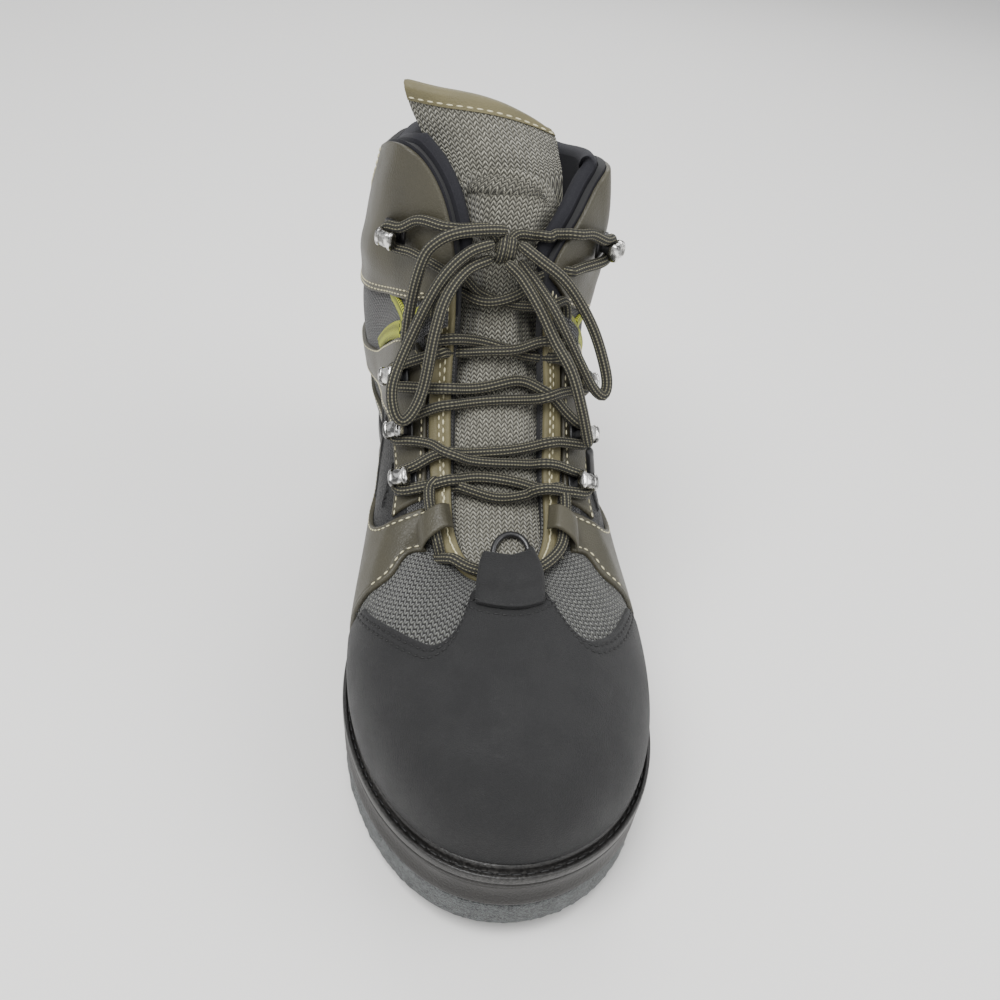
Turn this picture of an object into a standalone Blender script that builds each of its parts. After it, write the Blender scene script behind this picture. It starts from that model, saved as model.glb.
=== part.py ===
"""Felt-soled wading boot for a left foot, in metres, +Z up.

The origin is on the floor under the middle of the heel. The toe points along -Y,
the inner (medial) side of the foot is -X and the outer (lateral) side is +X.
"""

import math
from collections import namedtuple

import bmesh
import bpy
import numpy as np
from mathutils import Vector
from mathutils.bvhtree import BVHTree
from mathutils.geometry import delaunay_2d_cdt

# Driving sizes
SOLE_LENGTH = 0.312
BALL_WIDTH = 0.1145
HEEL_REACH = 0.041
COLLAR_HEIGHT = 0.204
FELT_THICK = 0.0105
MIDSOLE_THICK = 0.0125
HEEL_LIFT = 0.013
TOE_SPRING = 0.009
WELT_MARGIN = 0.006
WELT_THICK = 0.003
WALL = 0.0028
CLEAR = 0.0003

FELT_INSET = 0.0015
INSOLE_GAP = 0.0010
ARCH_RISE = 0.006
FOREFOOT_END = 0.52
HEEL_START = 0.70
BEAD_HEIGHT = 0.0025
BEAD_WIDTH = 0.0020
GROOVE_DEPTH = 0.0010
INSOLE_THICK = 0.004
OVERLAY = 0.0014
TONGUE_THICK = 0.0045
TONGUE_TOP = 0.2155
BINDING = 0.0050
PADDING = 0.0065
PADDING_ROLL = 0.0045
LACE = 0.0040
STRAP_THICK = 0.0014
KEEPER_TIP = 0.0010
HOOK_SEAT = 0.0008
HOOK_PLATE_WIDTH = 0.0096
HOOK_PLATE_HEIGHT = 0.0086
HOOK_PLATE_THICK = 0.0012
HOOK_PLATE_SHIFT = 0.0012
HOOK_NECK = 0.0034
HOOK_HEAD_WIDTH = 0.0066
HOOK_HEAD_HEIGHT = 0.0052
HOOK_HEAD_THICK = 0.0028
RING_WIRE = 0.0020
RING_WIDTH = 0.0126
RING_HEIGHT = 0.0105
KNOT_WIDTH = 0.0076
KNOT_HEIGHT = 0.0090
TUBE_SIDES = 6
CORD_SIDES_RESOLUTION = 2
CORD_POINT_GAP = 2.4
STATIONS_PER_POINT = 1.0
STATION_GAP = 0.55
NECK_CORNER = 0.56
LACE_LIFT = 0.0003
STRAND_ROOM = 0.0013
STRAND_STATIONS = 12
SETTLING_TURNS = 10
TUBE_START_SIDE = (0.31, 0.17, 0.93)
AGLET = 0.0030
KNOT_Y = -0.1120
KNOT_Z = 0.1720

# Mesh density
SIDE_STATIONS = 32
WALL_ROWS = 10

# Base colours
BLACK_NUBUCK = (0.012, 0.012, 0.013, 1)
BLACK_RUBBER = (0.020, 0.017, 0.015, 1)
GREY_FELT = (0.110, 0.120, 0.120, 1)
OLIVE_LEATHER = (0.090, 0.085, 0.068, 1)
OLIVE_TRIM = (0.230, 0.215, 0.130, 1)
KNIT_GREY = (0.230, 0.235, 0.205, 1)
BLACK_MESH = (0.030, 0.032, 0.033, 1)
NAVY_FOAM = (0.025, 0.027, 0.035, 1)
LACE_OLIVE = (0.075, 0.072, 0.055, 1)
WEBBING = (0.300, 0.330, 0.060, 1)
BLACK_METAL = (0.020, 0.020, 0.021, 1)
BRIGHT_METAL = (0.560, 0.560, 0.560, 1)

Plan = namedtuple("Plan", "along out")
# Outline of the sole: along is the share of its length from the toe,
# out the share of the ball width, negative on the inner side.
SOLE_PLAN = [
    Plan(0.000, -0.020),
    Plan(0.020, -0.190),
    Plan(0.075, -0.330),
    Plan(0.160, -0.430),
    Plan(0.260, -0.475),
    Plan(0.360, -0.455),
    Plan(0.480, -0.375),
    Plan(0.600, -0.315),
    Plan(0.720, -0.315),
    Plan(0.840, -0.335),
    Plan(0.930, -0.290),
    Plan(0.984, -0.165),
    Plan(1.000, 0.000),
    Plan(0.984, 0.170),
    Plan(0.930, 0.300),
    Plan(0.840, 0.355),
    Plan(0.720, 0.370),
    Plan(0.600, 0.405),
    Plan(0.480, 0.465),
    Plan(0.370, 0.515),
    Plan(0.270, 0.525),
    Plan(0.170, 0.480),
    Plan(0.080, 0.365),
    Plan(0.021, 0.195),
]

Level = namedtuple("Level", "inset rise")
# Side of the midsole: how far it stands in from the outline, in metres, at each share of its height.
MIDSOLE_SIDE = [
    Level(0.0012, 0.00),
    Level(0.0008, 0.12),
    Level(0.0018, 0.50),
    Level(0.0010, 0.78),
    Level(0.0000, 0.90),
    Level(0.0004, 1.00),
]

Row = namedtuple("Row", "place edge_out edge_along edge_up lean rise crown_out crown_along crown_fall")
# Meridians of the upper: place runs 0 at the toe, 1 at the heel, 2 back at the toe by the outer side.
# edge_* is the point on the throat and collar edge: out is a share of the ball width, negative on
# the inner side, along a share of the sole length from the toe, up a share of the collar height.
# lean and rise bend the foot of the meridian, crown_* its top, as the same shares.
UPPER_ROWS = [
    Row(0.00, 0.022, 0.293, 0.392, 0.060, 0.150, 0.000, -0.145, 0.010),
    Row(0.10, -0.045, 0.297, 0.394, 0.070, 0.150, -0.070, -0.140, 0.012),
    Row(0.20, -0.095, 0.305, 0.400, 0.090, 0.150, -0.150, -0.100, 0.020),
    Row(0.30, -0.135, 0.338, 0.430, 0.100, 0.150, -0.230, -0.045, 0.035),
    Row(0.40, -0.140, 0.400, 0.500, 0.065, 0.170, -0.250, -0.010, 0.070),
    Row(0.50, -0.140, 0.465, 0.640, 0.090, 0.200, -0.270, 0.015, 0.110),
    Row(0.60, -0.140, 0.515, 0.810, 0.110, 0.240, -0.280, 0.025, 0.150),
    Row(0.66, -0.188, 0.545, 0.917, 0.130, 0.240, -0.225, 0.018, 0.200),
    Row(0.70, -0.253, 0.559, 0.970, 0.160, 0.240, -0.185, 0.012, 0.225),
    Row(0.74, -0.318, 0.580, 0.985, 0.160, 0.240, -0.140, 0.010, 0.240),
    Row(0.80, -0.350, 0.712, 0.920, 0.160, 0.240, -0.110, 0.006, 0.245),
    Row(0.90, -0.310, 0.850, 0.870, 0.070, 0.230, -0.050, -0.004, 0.245),
    Row(0.95, -0.225, 0.930, 0.855, 0.060, 0.225, -0.030, -0.014, 0.240),
    Row(1.00, 0.000, 0.962, 0.850, 0.050, 0.220, 0.000, -0.022, 0.235),
    Row(1.05, 0.225, 0.930, 0.855, 0.060, 0.225, 0.030, -0.014, 0.240),
    Row(1.10, 0.310, 0.850, 0.870, 0.070, 0.230, 0.050, -0.004, 0.245),
    Row(1.20, 0.350, 0.712, 0.920, 0.110, 0.240, 0.100, 0.006, 0.245),
    Row(1.26, 0.318, 0.575, 0.968, 0.100, 0.240, 0.100, 0.010, 0.240),
    Row(1.30, 0.280, 0.555, 0.945, 0.100, 0.240, 0.120, 0.012, 0.225),
    Row(1.34, 0.232, 0.538, 0.895, 0.085, 0.240, 0.160, 0.018, 0.200),
    Row(1.40, 0.150, 0.515, 0.810, 0.045, 0.240, 0.225, 0.025, 0.150),
    Row(1.50, 0.140, 0.465, 0.640, 0.035, 0.200, 0.240, 0.015, 0.110),
    Row(1.60, 0.140, 0.400, 0.500, 0.035, 0.170, 0.230, -0.010, 0.070),
    Row(1.70, 0.135, 0.338, 0.430, 0.065, 0.150, 0.220, -0.045, 0.035),
    Row(1.80, 0.100, 0.305, 0.400, 0.090, 0.150, 0.150, -0.100, 0.020),
    Row(1.90, 0.065, 0.297, 0.394, 0.070, 0.150, 0.070, -0.140, 0.012),
]


Band = namedtuple("Band", "low_place low_share high_place high_share")
# Outlines of the pieces laid on the upper, a row for each line across a piece: places are
# positive on the inner side and negative on the outer side. Share 0 stands for the welt's bead.
TOE_CAP = [
    Band(0.385, 0.000, 0.330, 0.485),
    Band(0.340, 0.000, 0.288, 0.562),
    Band(0.300, 0.000, 0.255, 0.610),
    Band(0.255, 0.000, 0.218, 0.647),
    Band(0.205, 0.000, 0.183, 0.680),
    Band(0.165, 0.000, 0.158, 0.738),
    Band(0.130, 0.000, 0.145, 0.802),
    Band(0.095, 0.000, 0.142, 0.863),
    Band(0.060, 0.000, 0.132, 0.915),
    Band(0.020, 0.000, 0.050, 0.925),
    Band(-0.020, 0.000, -0.060, 0.925),
    Band(-0.060, 0.000, -0.148, 0.915),
    Band(-0.095, 0.000, -0.160, 0.863),
    Band(-0.130, 0.000, -0.163, 0.802),
    Band(-0.165, 0.000, -0.172, 0.738),
    Band(-0.205, 0.000, -0.190, 0.685),
    Band(-0.255, 0.000, -0.222, 0.640),
    Band(-0.300, 0.000, -0.256, 0.600),
    Band(-0.340, 0.000, -0.290, 0.560),
    Band(-0.385, 0.000, -0.325, 0.500),
]
# The next four run from the inner side round to the toe or heel and are mirrored to the outer side.
THROAT_TRIM = [
    Band(0.580, 0.905, 0.580, 0.992),
    Band(0.500, 0.905, 0.500, 0.992),
    Band(0.420, 0.900, 0.420, 0.992),
    Band(0.350, 0.925, 0.350, 0.992),
    Band(0.300, 0.925, 0.300, 0.992),
    Band(0.240, 0.940, 0.240, 0.992),
    Band(0.150, 0.950, 0.150, 0.992),
    Band(0.000, 0.950, 0.000, 0.992),
]
FACING = [
    Band(0.392, 0.700, 0.380, 0.880),
    Band(0.420, 0.710, 0.415, 0.885),
    Band(0.460, 0.705, 0.470, 0.890),
    Band(0.505, 0.660, 0.530, 0.880),
    Band(0.550, 0.540, 0.570, 0.780),
    Band(0.610, 0.400, 0.608, 0.600),
    Band(0.690, 0.300, 0.658, 0.455),
    Band(0.790, 0.270, 0.740, 0.375),
    Band(0.890, 0.270, 0.860, 0.365),
    Band(1.000, 0.270, 1.000, 0.365),
]
CUFF = [
    Band(0.592, 0.860, 0.592, 0.992),
    Band(0.608, 0.790, 0.612, 0.992),
    Band(0.645, 0.690, 0.640, 0.992),
    Band(0.700, 0.600, 0.680, 0.992),
    Band(0.770, 0.570, 0.750, 0.992),
    Band(0.870, 0.570, 0.870, 0.992),
    Band(1.000, 0.570, 1.000, 0.992),
]
QUARTER = [
    Band(0.300, 0.860, 0.368, 0.870),
    Band(0.322, 0.770, 0.386, 0.700),
    Band(0.318, 0.680, 0.410, 0.570),
    Band(0.325, 0.600, 0.440, 0.470),
    Band(0.340, 0.500, 0.480, 0.390),
    Band(0.360, 0.330, 0.530, 0.320),
    Band(0.382, 0.120, 0.590, 0.260),
    Band(0.410, 0.000, 0.660, 0.215),
    Band(0.550, 0.000, 0.740, 0.200),
    Band(0.780, 0.000, 0.850, 0.195),
    Band(1.000, 0.000, 1.000, 0.195),
]


Flap = namedtuple("Flap", "up along inner outer inner_back outer_back outer_fall")
# Free top of the tongue: up is a share of the tongue's height, along of the sole length, inner and
# outer the two edges as shares of the ball width, *_back how far they curl back, as shares of the
# sole length, and outer_fall how far the outer edge is lower, as a share of the tongue's height.
TONGUE_FLAP = [
    Flap(0.875, 0.567, -0.215, 0.200, 0.034, 0.030, 0.005),
    Flap(0.922, 0.582, -0.245, 0.185, 0.036, 0.026, 0.014),
    Flap(0.965, 0.594, -0.290, 0.172, 0.032, 0.020, 0.030),
    Flap(1.000, 0.603, -0.315, 0.158, 0.024, 0.012, 0.052),
]

Fold = namedtuple("Fold", "share depth")
# Section of the collar padding from its lower edge up the lining side: share on the upper, and
# depth as a share of its thickness.
PADDING_SIDE = [
    Fold(1.00, 1.00),
    Fold(0.90, 1.00),
    Fold(0.80, 0.85),
    Fold(0.70, 0.60),
    Fold(0.60, 0.30),
]

Rise = namedtuple("Rise", "share out")
# Loops that stand off the upper to let the lace through: share on the upper, and the height of
# their underside as a share of the lace's diameter.
KEEPER = [Rise(0.862, 0.54), Rise(0.895, 0.86), Rise(0.925, 1.55), Rise(0.960, 1.85), Rise(1.000, 1.90)]
LACE_BAND = [Rise(0.840, 0.54), Rise(0.870, 1.45), Rise(0.910, 1.95), Rise(0.955, 2.05), Rise(0.985, 1.15)]
Spread = namedtuple("Spread", "foot tip")
KEEPER_PLACES = [
    Spread(0.118, 0.150),
    Spread(0.062, 0.080),
    Spread(-0.004, -0.010),
    Spread(-0.066, -0.115),
    Spread(-0.125, -0.230),
]
LACE_BAND_PLACES = (0.300, 0.323, 0.345)
WEBBING_LOOP_PLACES = (0.545, 0.5525, 0.560)

Corner = namedtuple("Corner", "place share")
# Flat webbing between facing and cuff on the inner side, mirrored to the outer side.
WEBBING_ARMS = [
    Corner(0.643, 0.512),
    Corner(0.598, 0.738),
    Corner(0.644, 0.672),
    Corner(0.612, 0.762),
    Corner(0.598, 0.830),
    Corner(0.584, 0.890),
    Corner(0.574, 0.850),
    Corner(0.579, 0.800),
    Corner(0.614, 0.618),
]

Hook = namedtuple("Hook", "name place share")
LACE_HOOKS = [
    Hook("hook_inner_1", 0.410, 0.810),
    Hook("hook_inner_2", 0.468, 0.800),
    Hook("hook_inner_3", 0.528, 0.780),
    Hook("hook_inner_4", 0.680, 0.828),
    Hook("hook_outer_1", 1.595, 0.830),
    Hook("hook_outer_2", 1.535, 0.825),
    Hook("hook_outer_3", 1.480, 0.820),
    Hook("hook_outer_4", 1.318, 0.855),
]


Pass = namedtuple("Pass", "out up over", defaults=(0.0,))
# Strands of the lace seen from the front, between its hooks and loops: out is a share of the ball
# width, up of the collar height, over how many laces a strand rides above what it lies on.
TOE_TO_OUTER_1 = [
    Pass(-0.14, 0.472, 0.4),
    Pass(0.00, 0.46),
    Pass(0.12, 0.47),
    Pass(0.19, 0.478),
]
TOE_TO_INNER_1 = [
    Pass(0.15, 0.48),
    Pass(0.07, 0.48),
    Pass(-0.07, 0.487),
    Pass(-0.19, 0.483),
]
INNER_1_TO_OUTER_2 = [
    Pass(-0.19, 0.52),
    Pass(-0.07, 0.52),
    Pass(0.05, 0.526),
    Pass(0.15, 0.54),
    Pass(0.19, 0.54),
]
OUTER_1_TO_INNER_2 = [
    Pass(0.19, 0.508),
    Pass(0.07, 0.506),
    Pass(-0.06, 0.512),
    Pass(-0.16, 0.53),
    Pass(-0.20, 0.532),
]
INNER_2_TO_OUTER_3 = [
    Pass(-0.19, 0.586),
    Pass(-0.07, 0.592),
    Pass(0.05, 0.598),
    Pass(0.15, 0.612),
    Pass(0.18, 0.614),
]
OUTER_2_TO_INNER_3 = [
    Pass(0.19, 0.598),
    Pass(0.15, 0.617),
    Pass(0.07, 0.624),
    Pass(-0.05, 0.613),
    Pass(-0.20, 0.612),
]
INNER_3_TO_LOOP = [
    Pass(-0.19, 0.667),
    Pass(-0.07, 0.665),
    Pass(0.05, 0.675),
    Pass(0.14, 0.696),
]
OUTER_3_TO_LOOP = [
    Pass(0.19, 0.663),
    Pass(0.07, 0.663),
    Pass(-0.05, 0.68),
    Pass(-0.15, 0.696),
]
LOOP_TO_OUTER_4 = [
    Pass(-0.14, 0.757, 0.5),
    Pass(-0.05, 0.746),
    Pass(0.05, 0.76),
    Pass(0.15, 0.793),
    Pass(0.24, 0.804),
]
LOOP_TO_INNER_4 = [
    Pass(0.145, 0.757, 0.5),
    Pass(0.04, 0.741),
    Pass(-0.06, 0.755),
    Pass(-0.15, 0.793),
    Pass(-0.26, 0.807),
]
INNER_4_TO_KNOT = [
    Pass(-0.26, 0.868),
    Pass(-0.18, 0.868),
    Pass(-0.10, 0.861, 0.2),
    Pass(-0.04, 0.864, 0.4),
]
OUTER_4_TO_KNOT = [
    Pass(0.26, 0.868),
    Pass(0.18, 0.855),
    Pass(0.10, 0.852, 0.2),
    Pass(0.04, 0.859, 0.4),
]

Spot = namedtuple("Spot", "out along up")
# Middle lines of the bow's loops and ends, which hang free: out is a share of the ball width,
# along of the sole length from the toe, up of the collar height.
LOOP_INNER = [
    Spot(-0.04, 0.499, 0.859),
    Spot(-0.12, 0.492, 0.843),
    Spot(-0.20, 0.478, 0.800),
    Spot(-0.28, 0.462, 0.710),
    Spot(-0.335, 0.436, 0.640),
    Spot(-0.332, 0.423, 0.596),
    Spot(-0.304, 0.420, 0.576),
    Spot(-0.268, 0.426, 0.593),
    Spot(-0.238, 0.438, 0.635),
    Spot(-0.212, 0.452, 0.725),
    Spot(-0.18, 0.468, 0.780),
    Spot(-0.12, 0.488, 0.815),
    Spot(-0.04, 0.502, 0.830),
]
END_INNER = [
    Spot(0.00, 0.510, 0.877),
    Spot(-0.06, 0.506, 0.878),
    Spot(-0.15, 0.500, 0.874),
    Spot(-0.21, 0.497, 0.859),
    Spot(-0.25, 0.495, 0.831),
    Spot(-0.28, 0.492, 0.760),
    Spot(-0.297, 0.485, 0.668),
]
LOOP_OUTER = [
    Spot(0.04, 0.501, 0.859),
    Spot(0.10, 0.490, 0.840),
    Spot(0.18, 0.484, 0.810),
    Spot(0.25, 0.481, 0.762),
    Spot(0.31, 0.476, 0.705),
    Spot(0.352, 0.460, 0.640),
    Spot(0.343, 0.449, 0.614),
    Spot(0.305, 0.446, 0.629),
    Spot(0.25, 0.446, 0.678),
    Spot(0.16, 0.458, 0.762),
    Spot(0.11, 0.483, 0.793),
    Spot(0.05, 0.505, 0.826),
]
END_OUTER = [
    Spot(0.00, 0.489, 0.833),
    Spot(0.05, 0.484, 0.808),
    Spot(0.11, 0.464, 0.765),
    Spot(0.16, 0.446, 0.719),
    Spot(0.21, 0.425, 0.680),
    Spot(0.25, 0.413, 0.622),
    Spot(0.295, 0.410, 0.542),
]
AGLET_OUTER = [
    Spot(0.297, 0.410, 0.537),
    Spot(0.311, 0.412, 0.501),
    Spot(0.321, 0.410, 0.471),
]
# Foot and head of the ring above the keeper tab
RING_SPOTS = [
    Spot(0.036, 0.312, 0.396),
    Spot(0.042, 0.346, 0.425),
]

Laid = namedtuple("Laid", "place share")
# The lace on the throat trim: under its bands and the keeper tab, from the inner band's top round
# to the outer one's, then into and out of the webbing loops.
LACE_FOOT = [
    Laid(0.385, 0.910),
    Laid(0.345, 0.912),
    Laid(0.300, 0.912),
    Laid(0.250, 0.930),
    Laid(0.180, 0.955),
    Laid(0.090, 0.963),
    Laid(0.000, 0.963),
    Laid(-0.090, 0.963),
    Laid(-0.180, 0.955),
    Laid(-0.250, 0.930),
    Laid(-0.300, 0.912),
    Laid(-0.345, 0.912),
]
LACE_FOOT_TOP = [
    Laid(-0.352, 0.912),
    Laid(-0.385, 0.910),
]
INTO_LOOP = [
    Laid(0.538, 0.935),
    Laid(0.548, 0.915),
    Laid(0.559, 0.912),
]
OUT_OF_LOOP = [
    Laid(0.5615, 0.912),
    Laid(0.572, 0.915),
    Laid(0.582, 0.935),
]


def periodic_spline(knots, values, period, at):
    """Cubic through values at knots, smooth across the end of each period."""
    knots = np.asarray(knots, float)
    values = np.asarray(values, float)
    count = len(knots)
    gaps = np.diff(np.append(knots, knots[0] + period))
    system = np.zeros((count, count))
    right = np.zeros(values.shape)
    for i in range(count):
        before, after = gaps[i - 1], gaps[i]
        system[i, i - 1] += before
        system[i, i] += 2 * (before + after)
        system[i, (i + 1) % count] += after
        rise = (values[(i + 1) % count] - values[i]) / after
        right[i] = 6 * (rise - (values[i] - values[i - 1]) / before)
    bend = np.linalg.solve(system, right)
    at = np.mod(np.asarray(at, float) - knots[0], period) + knots[0]
    cell = np.clip(np.searchsorted(knots, at, side="right") - 1, 0, count - 1)
    following = (cell + 1) % count
    gap = gaps[cell]
    b = (at - knots[cell]) / gap
    a = 1 - b
    if values.ndim > 1:
        a, b, gap = a[..., None], b[..., None], gap[..., None]
    curve = ((a**3 - a) * bend[cell] + (b**3 - b) * bend[following]) * gap**2 / 6
    return a * values[cell] + b * values[following] + curve


def sole_outline(count=1440):
    """Dense points of the sole's outline from the toe round the inner side."""
    points = np.array([(row.out * BALL_WIDTH, row.along * SOLE_LENGTH) for row in SOLE_PLAN])
    steps = np.linalg.norm(np.roll(points, -1, axis=0) - points, axis=1)
    knots = np.concatenate([[0.0], np.cumsum(steps)[:-1]])
    at = np.linspace(0, steps.sum(), count, endpoint=False)
    curve = periodic_spline(knots, points, steps.sum(), at)
    curve[:, 1] += HEEL_REACH - SOLE_LENGTH
    return curve


OUTLINE = sole_outline()


def inset_outline(inset):
    """The sole's outline moved inwards by inset."""
    ahead = np.roll(OUTLINE, -3, axis=0) - np.roll(OUTLINE, 3, axis=0)
    ahead /= np.linalg.norm(ahead, axis=1)[:, None]
    inward = np.stack([-ahead[:, 1], ahead[:, 0]], axis=1)
    middle = np.array([0.0, HEEL_REACH - SOLE_LENGTH / 2])
    if np.sum(inward * (middle - OUTLINE)) < 0:
        inward = -inward
    return OUTLINE + inward * inset


class Footprint:
    """An inset of the sole's outline, read by place: 0 toe, 1 heel, 1 to 2 back along the outer side."""

    def __init__(self, inset):
        loop = inset_outline(inset)
        toe, heel = loop[:, 1].argmin(), loop[:, 1].argmax()
        loop = np.roll(loop, -toe, axis=0)
        heel = (heel - toe) % len(loop)
        inner, outer = loop[: heel + 1], np.concatenate([loop[heel:], loop[:1]])[::-1]
        self.toe_y, self.heel_y = loop[0, 1], loop[heel, 1]
        self.inner_x = lambda y: np.interp(y, inner[:, 1], inner[:, 0])
        self.outer_x = lambda y: np.interp(y, outer[:, 1], outer[:, 0])

    def at(self, place):
        """Point of the outline at each place."""
        place = np.mod(np.asarray(place, float), 2.0)
        along = (1 - np.cos(np.pi * place)) / 2
        y = self.toe_y + along * (self.heel_y - self.toe_y)
        x = np.where(place <= 1, self.inner_x(y), self.outer_x(y))
        return np.stack([x, y], axis=-1)


def places(count=SIDE_STATIONS):
    """Places of a full loop, toe first."""
    return np.arange(2 * count) / count


def ease(value):
    """Smooth step from 0 to 1."""
    value = np.clip(value, 0, 1)
    return value * value * (3 - 2 * value)


def along_share(y):
    """Share of the sole's length from the toe."""
    return (np.asarray(y, float) - (HEEL_REACH - SOLE_LENGTH)) / SOLE_LENGTH


def toe_lift(y):
    """How far the toe spring raises the sole at y."""
    return TOE_SPRING * np.clip(1 - along_share(y) / 0.30, 0, 1) ** 1.8


def seat(y):
    """Height of the midsole's top, where the foot stands."""
    heel = ease((along_share(y) - 0.36) / 0.34)
    return FELT_THICK + MIDSOLE_THICK + HEEL_LIFT * heel + toe_lift(y)


FEATHER = Footprint(WELT_MARGIN)


def row_values(place):
    """The table's columns at each place."""
    return periodic_spline([row.place for row in UPPER_ROWS], [row[1:] for row in UPPER_ROWS], 2.0, place)


def meridian(place, share):
    """Point of the upper's outer face: share runs from the feather line (0) to the edge (1)."""
    place, share = np.broadcast_arrays(np.asarray(place, float), np.asarray(share, float))
    row = row_values(place)
    foot = FEATHER.at(place)
    step = 0.01
    ahead = FEATHER.at(place + step) - FEATHER.at(place - step)
    ahead /= np.linalg.norm(ahead, axis=-1)[..., None]
    outward = np.stack([-ahead[..., 1], ahead[..., 0]], axis=-1)
    p0 = np.concatenate([foot, (seat(foot[..., 1]) + CLEAR)[..., None]], axis=-1)
    p1 = p0.copy()
    p1[..., :2] += outward * (row[..., 3] * BALL_WIDTH)[..., None]
    p1[..., 2] += row[..., 4] * COLLAR_HEIGHT
    toe_y = HEEL_REACH - SOLE_LENGTH
    edge_x = row[..., 0] * BALL_WIDTH
    edge_y = toe_y + row[..., 1] * SOLE_LENGTH
    p3 = np.stack([edge_x, edge_y, row[..., 2] * COLLAR_HEIGHT], axis=-1)
    crown = np.stack(
        [row[..., 5] * BALL_WIDTH, row[..., 6] * SOLE_LENGTH, -row[..., 7] * COLLAR_HEIGHT], axis=-1
    )
    p2 = p3 + crown
    t = share[..., None]
    s = 1 - t
    return s**3 * p0 + 3 * s**2 * t * p1 + 3 * s * t**2 * p2 + t**3 * p3


def skin(place, share, out=0.0):
    """The upper's outer face moved outwards by out."""
    place, share = np.broadcast_arrays(np.asarray(place, float), np.asarray(share, float))
    step = 0.012
    point = meridian(place, share)
    across = meridian(place + step, share) - meridian(place - step, share)
    upward = meridian(place, np.minimum(share + step, 1)) - meridian(place, np.maximum(share - step, 0))
    normal = np.cross(upward, across)
    normal /= np.linalg.norm(normal, axis=-1)[..., None]
    return point + normal * np.asarray(out)[..., None]


def share_at_height(place, height):
    """Share at which the outer face stands height above the feather line."""
    place = np.asarray(place, float)
    low, high = np.zeros(place.shape), np.full(place.shape, 0.5)
    base = meridian(place, low)[..., 2]
    for _ in range(30):
        middle = (low + high) / 2
        above = meridian(place, middle)[..., 2] - base > height
        high = np.where(above, middle, high)
        low = np.where(above, low, middle)
    return (low + high) / 2


def vertex_grid():
    """Places, shares, points and normals of the upper's own mesh, one turn from the toe."""
    place = np.arange(2 * SIDE_STATIONS) / SIDE_STATIONS
    share = np.linspace(0, 1, WALL_ROWS + 1)
    point = skin(place[:, None], share[None, :], 0.0)
    normal = skin(place[:, None], share[None, :], 1.0) - point
    return point, normal


GRID_POINT, GRID_NORMAL = vertex_grid()


def facet(place, share, out=0.0):
    """Point on the flat triangles of the upper's mesh, moved outwards by out."""
    place, share = np.broadcast_arrays(np.asarray(place, float), np.asarray(share, float))
    column = np.mod(place, 2.0) * SIDE_STATIONS
    row = share * WALL_ROWS
    i = np.floor(column + 1e-9).astype(int)
    j = np.clip(np.floor(row + 1e-9).astype(int), 0, WALL_ROWS - 1)
    a, b = (column - i)[..., None], (row - j)[..., None]
    i, after = i % (2 * SIDE_STATIONS), (i + 1) % (2 * SIDE_STATIONS)

    def blend(grid):
        lower = grid[i, j] + a * (grid[after, j] - grid[i, j]) + b * (grid[after, j + 1] - grid[after, j])
        upper = grid[i, j] + b * (grid[i, j + 1] - grid[i, j]) + a * (grid[after, j + 1] - grid[i, j + 1])
        return np.where(a >= b, lower, upper)

    return blend(GRID_POINT) + blend(GRID_NORMAL) * np.asarray(out, float)[..., None]


def material(name, colour, roughness, metallic=0.0):
    """Principled material for one sub-part."""
    made = bpy.data.materials.new(name)
    made.use_nodes = True
    shader = made.node_tree.nodes["Principled BSDF"]
    shader.inputs["Base Color"].default_value = colour
    shader.inputs["Roughness"].default_value = roughness
    shader.inputs["Metallic"].default_value = metallic
    return made


def add_mesh(name, points, faces, made_of):
    """Object with merged doubles, triangles and faces that point outwards."""
    mesh = bpy.data.meshes.new(name)
    shape = bmesh.new()
    corners = [shape.verts.new(point) for point in np.asarray(points, float).reshape(-1, 3)]
    for face in faces:
        if len(set(face)) > 2:
            shape.faces.new([corners[i] for i in face])
    bmesh.ops.remove_doubles(shape, verts=shape.verts, dist=1e-6)
    bmesh.ops.triangulate(shape, faces=shape.faces)
    bmesh.ops.recalc_face_normals(shape, faces=shape.faces)
    shape.to_mesh(mesh)
    shape.free()
    mesh.materials.append(made_of)
    made = bpy.data.objects.new(name, mesh)
    bpy.context.collection.objects.link(made)
    return made


def sheet_faces(rows, columns, start=0, closed=False):
    """Triangles of a grid of rows by columns, the rows in a ring where closed."""
    faces = []
    for i in range(rows if closed else rows - 1):
        following = (i + 1) % rows
        for j in range(columns - 1):
            a, b = start + i * columns + j, start + following * columns + j
            faces.append((a, b, b + 1))
            faces.append((a, b + 1, a + 1))
    return faces


def add_wall(name, inner, outer, made_of, closed=False):
    """Solid between two grids of points with the same layout."""
    rows, columns = inner.shape[:2]
    count = rows * columns
    faces = sheet_faces(rows, columns, 0, closed) + sheet_faces(rows, columns, count, closed)
    for i in range(rows if closed else rows - 1):
        following = (i + 1) % rows
        for j in (0, columns - 1):
            a, b = i * columns + j, following * columns + j
            faces.append((a, b, b + count, a + count))
    if not closed:
        for i in (0, rows - 1):
            for j in range(columns - 1):
                a = i * columns + j
                faces.append((a, a + 1, a + 1 + count, a + count))
    return add_mesh(name, np.concatenate([inner.reshape(-1, 3), outer.reshape(-1, 3)]), faces, made_of)


def add_ring(name, sections, made_of):
    """Ring through closed sections, a grid of stations by section points."""
    stations, points = sections.shape[:2]
    faces = []
    for i in range(stations):
        for j in range(points):
            a, b = i * points + j, ((i + 1) % stations) * points + j
            c, d = ((i + 1) % stations) * points + (j + 1) % points, i * points + (j + 1) % points
            faces.append((a, b, c, d))
    return add_mesh(name, sections, faces, made_of)


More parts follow.
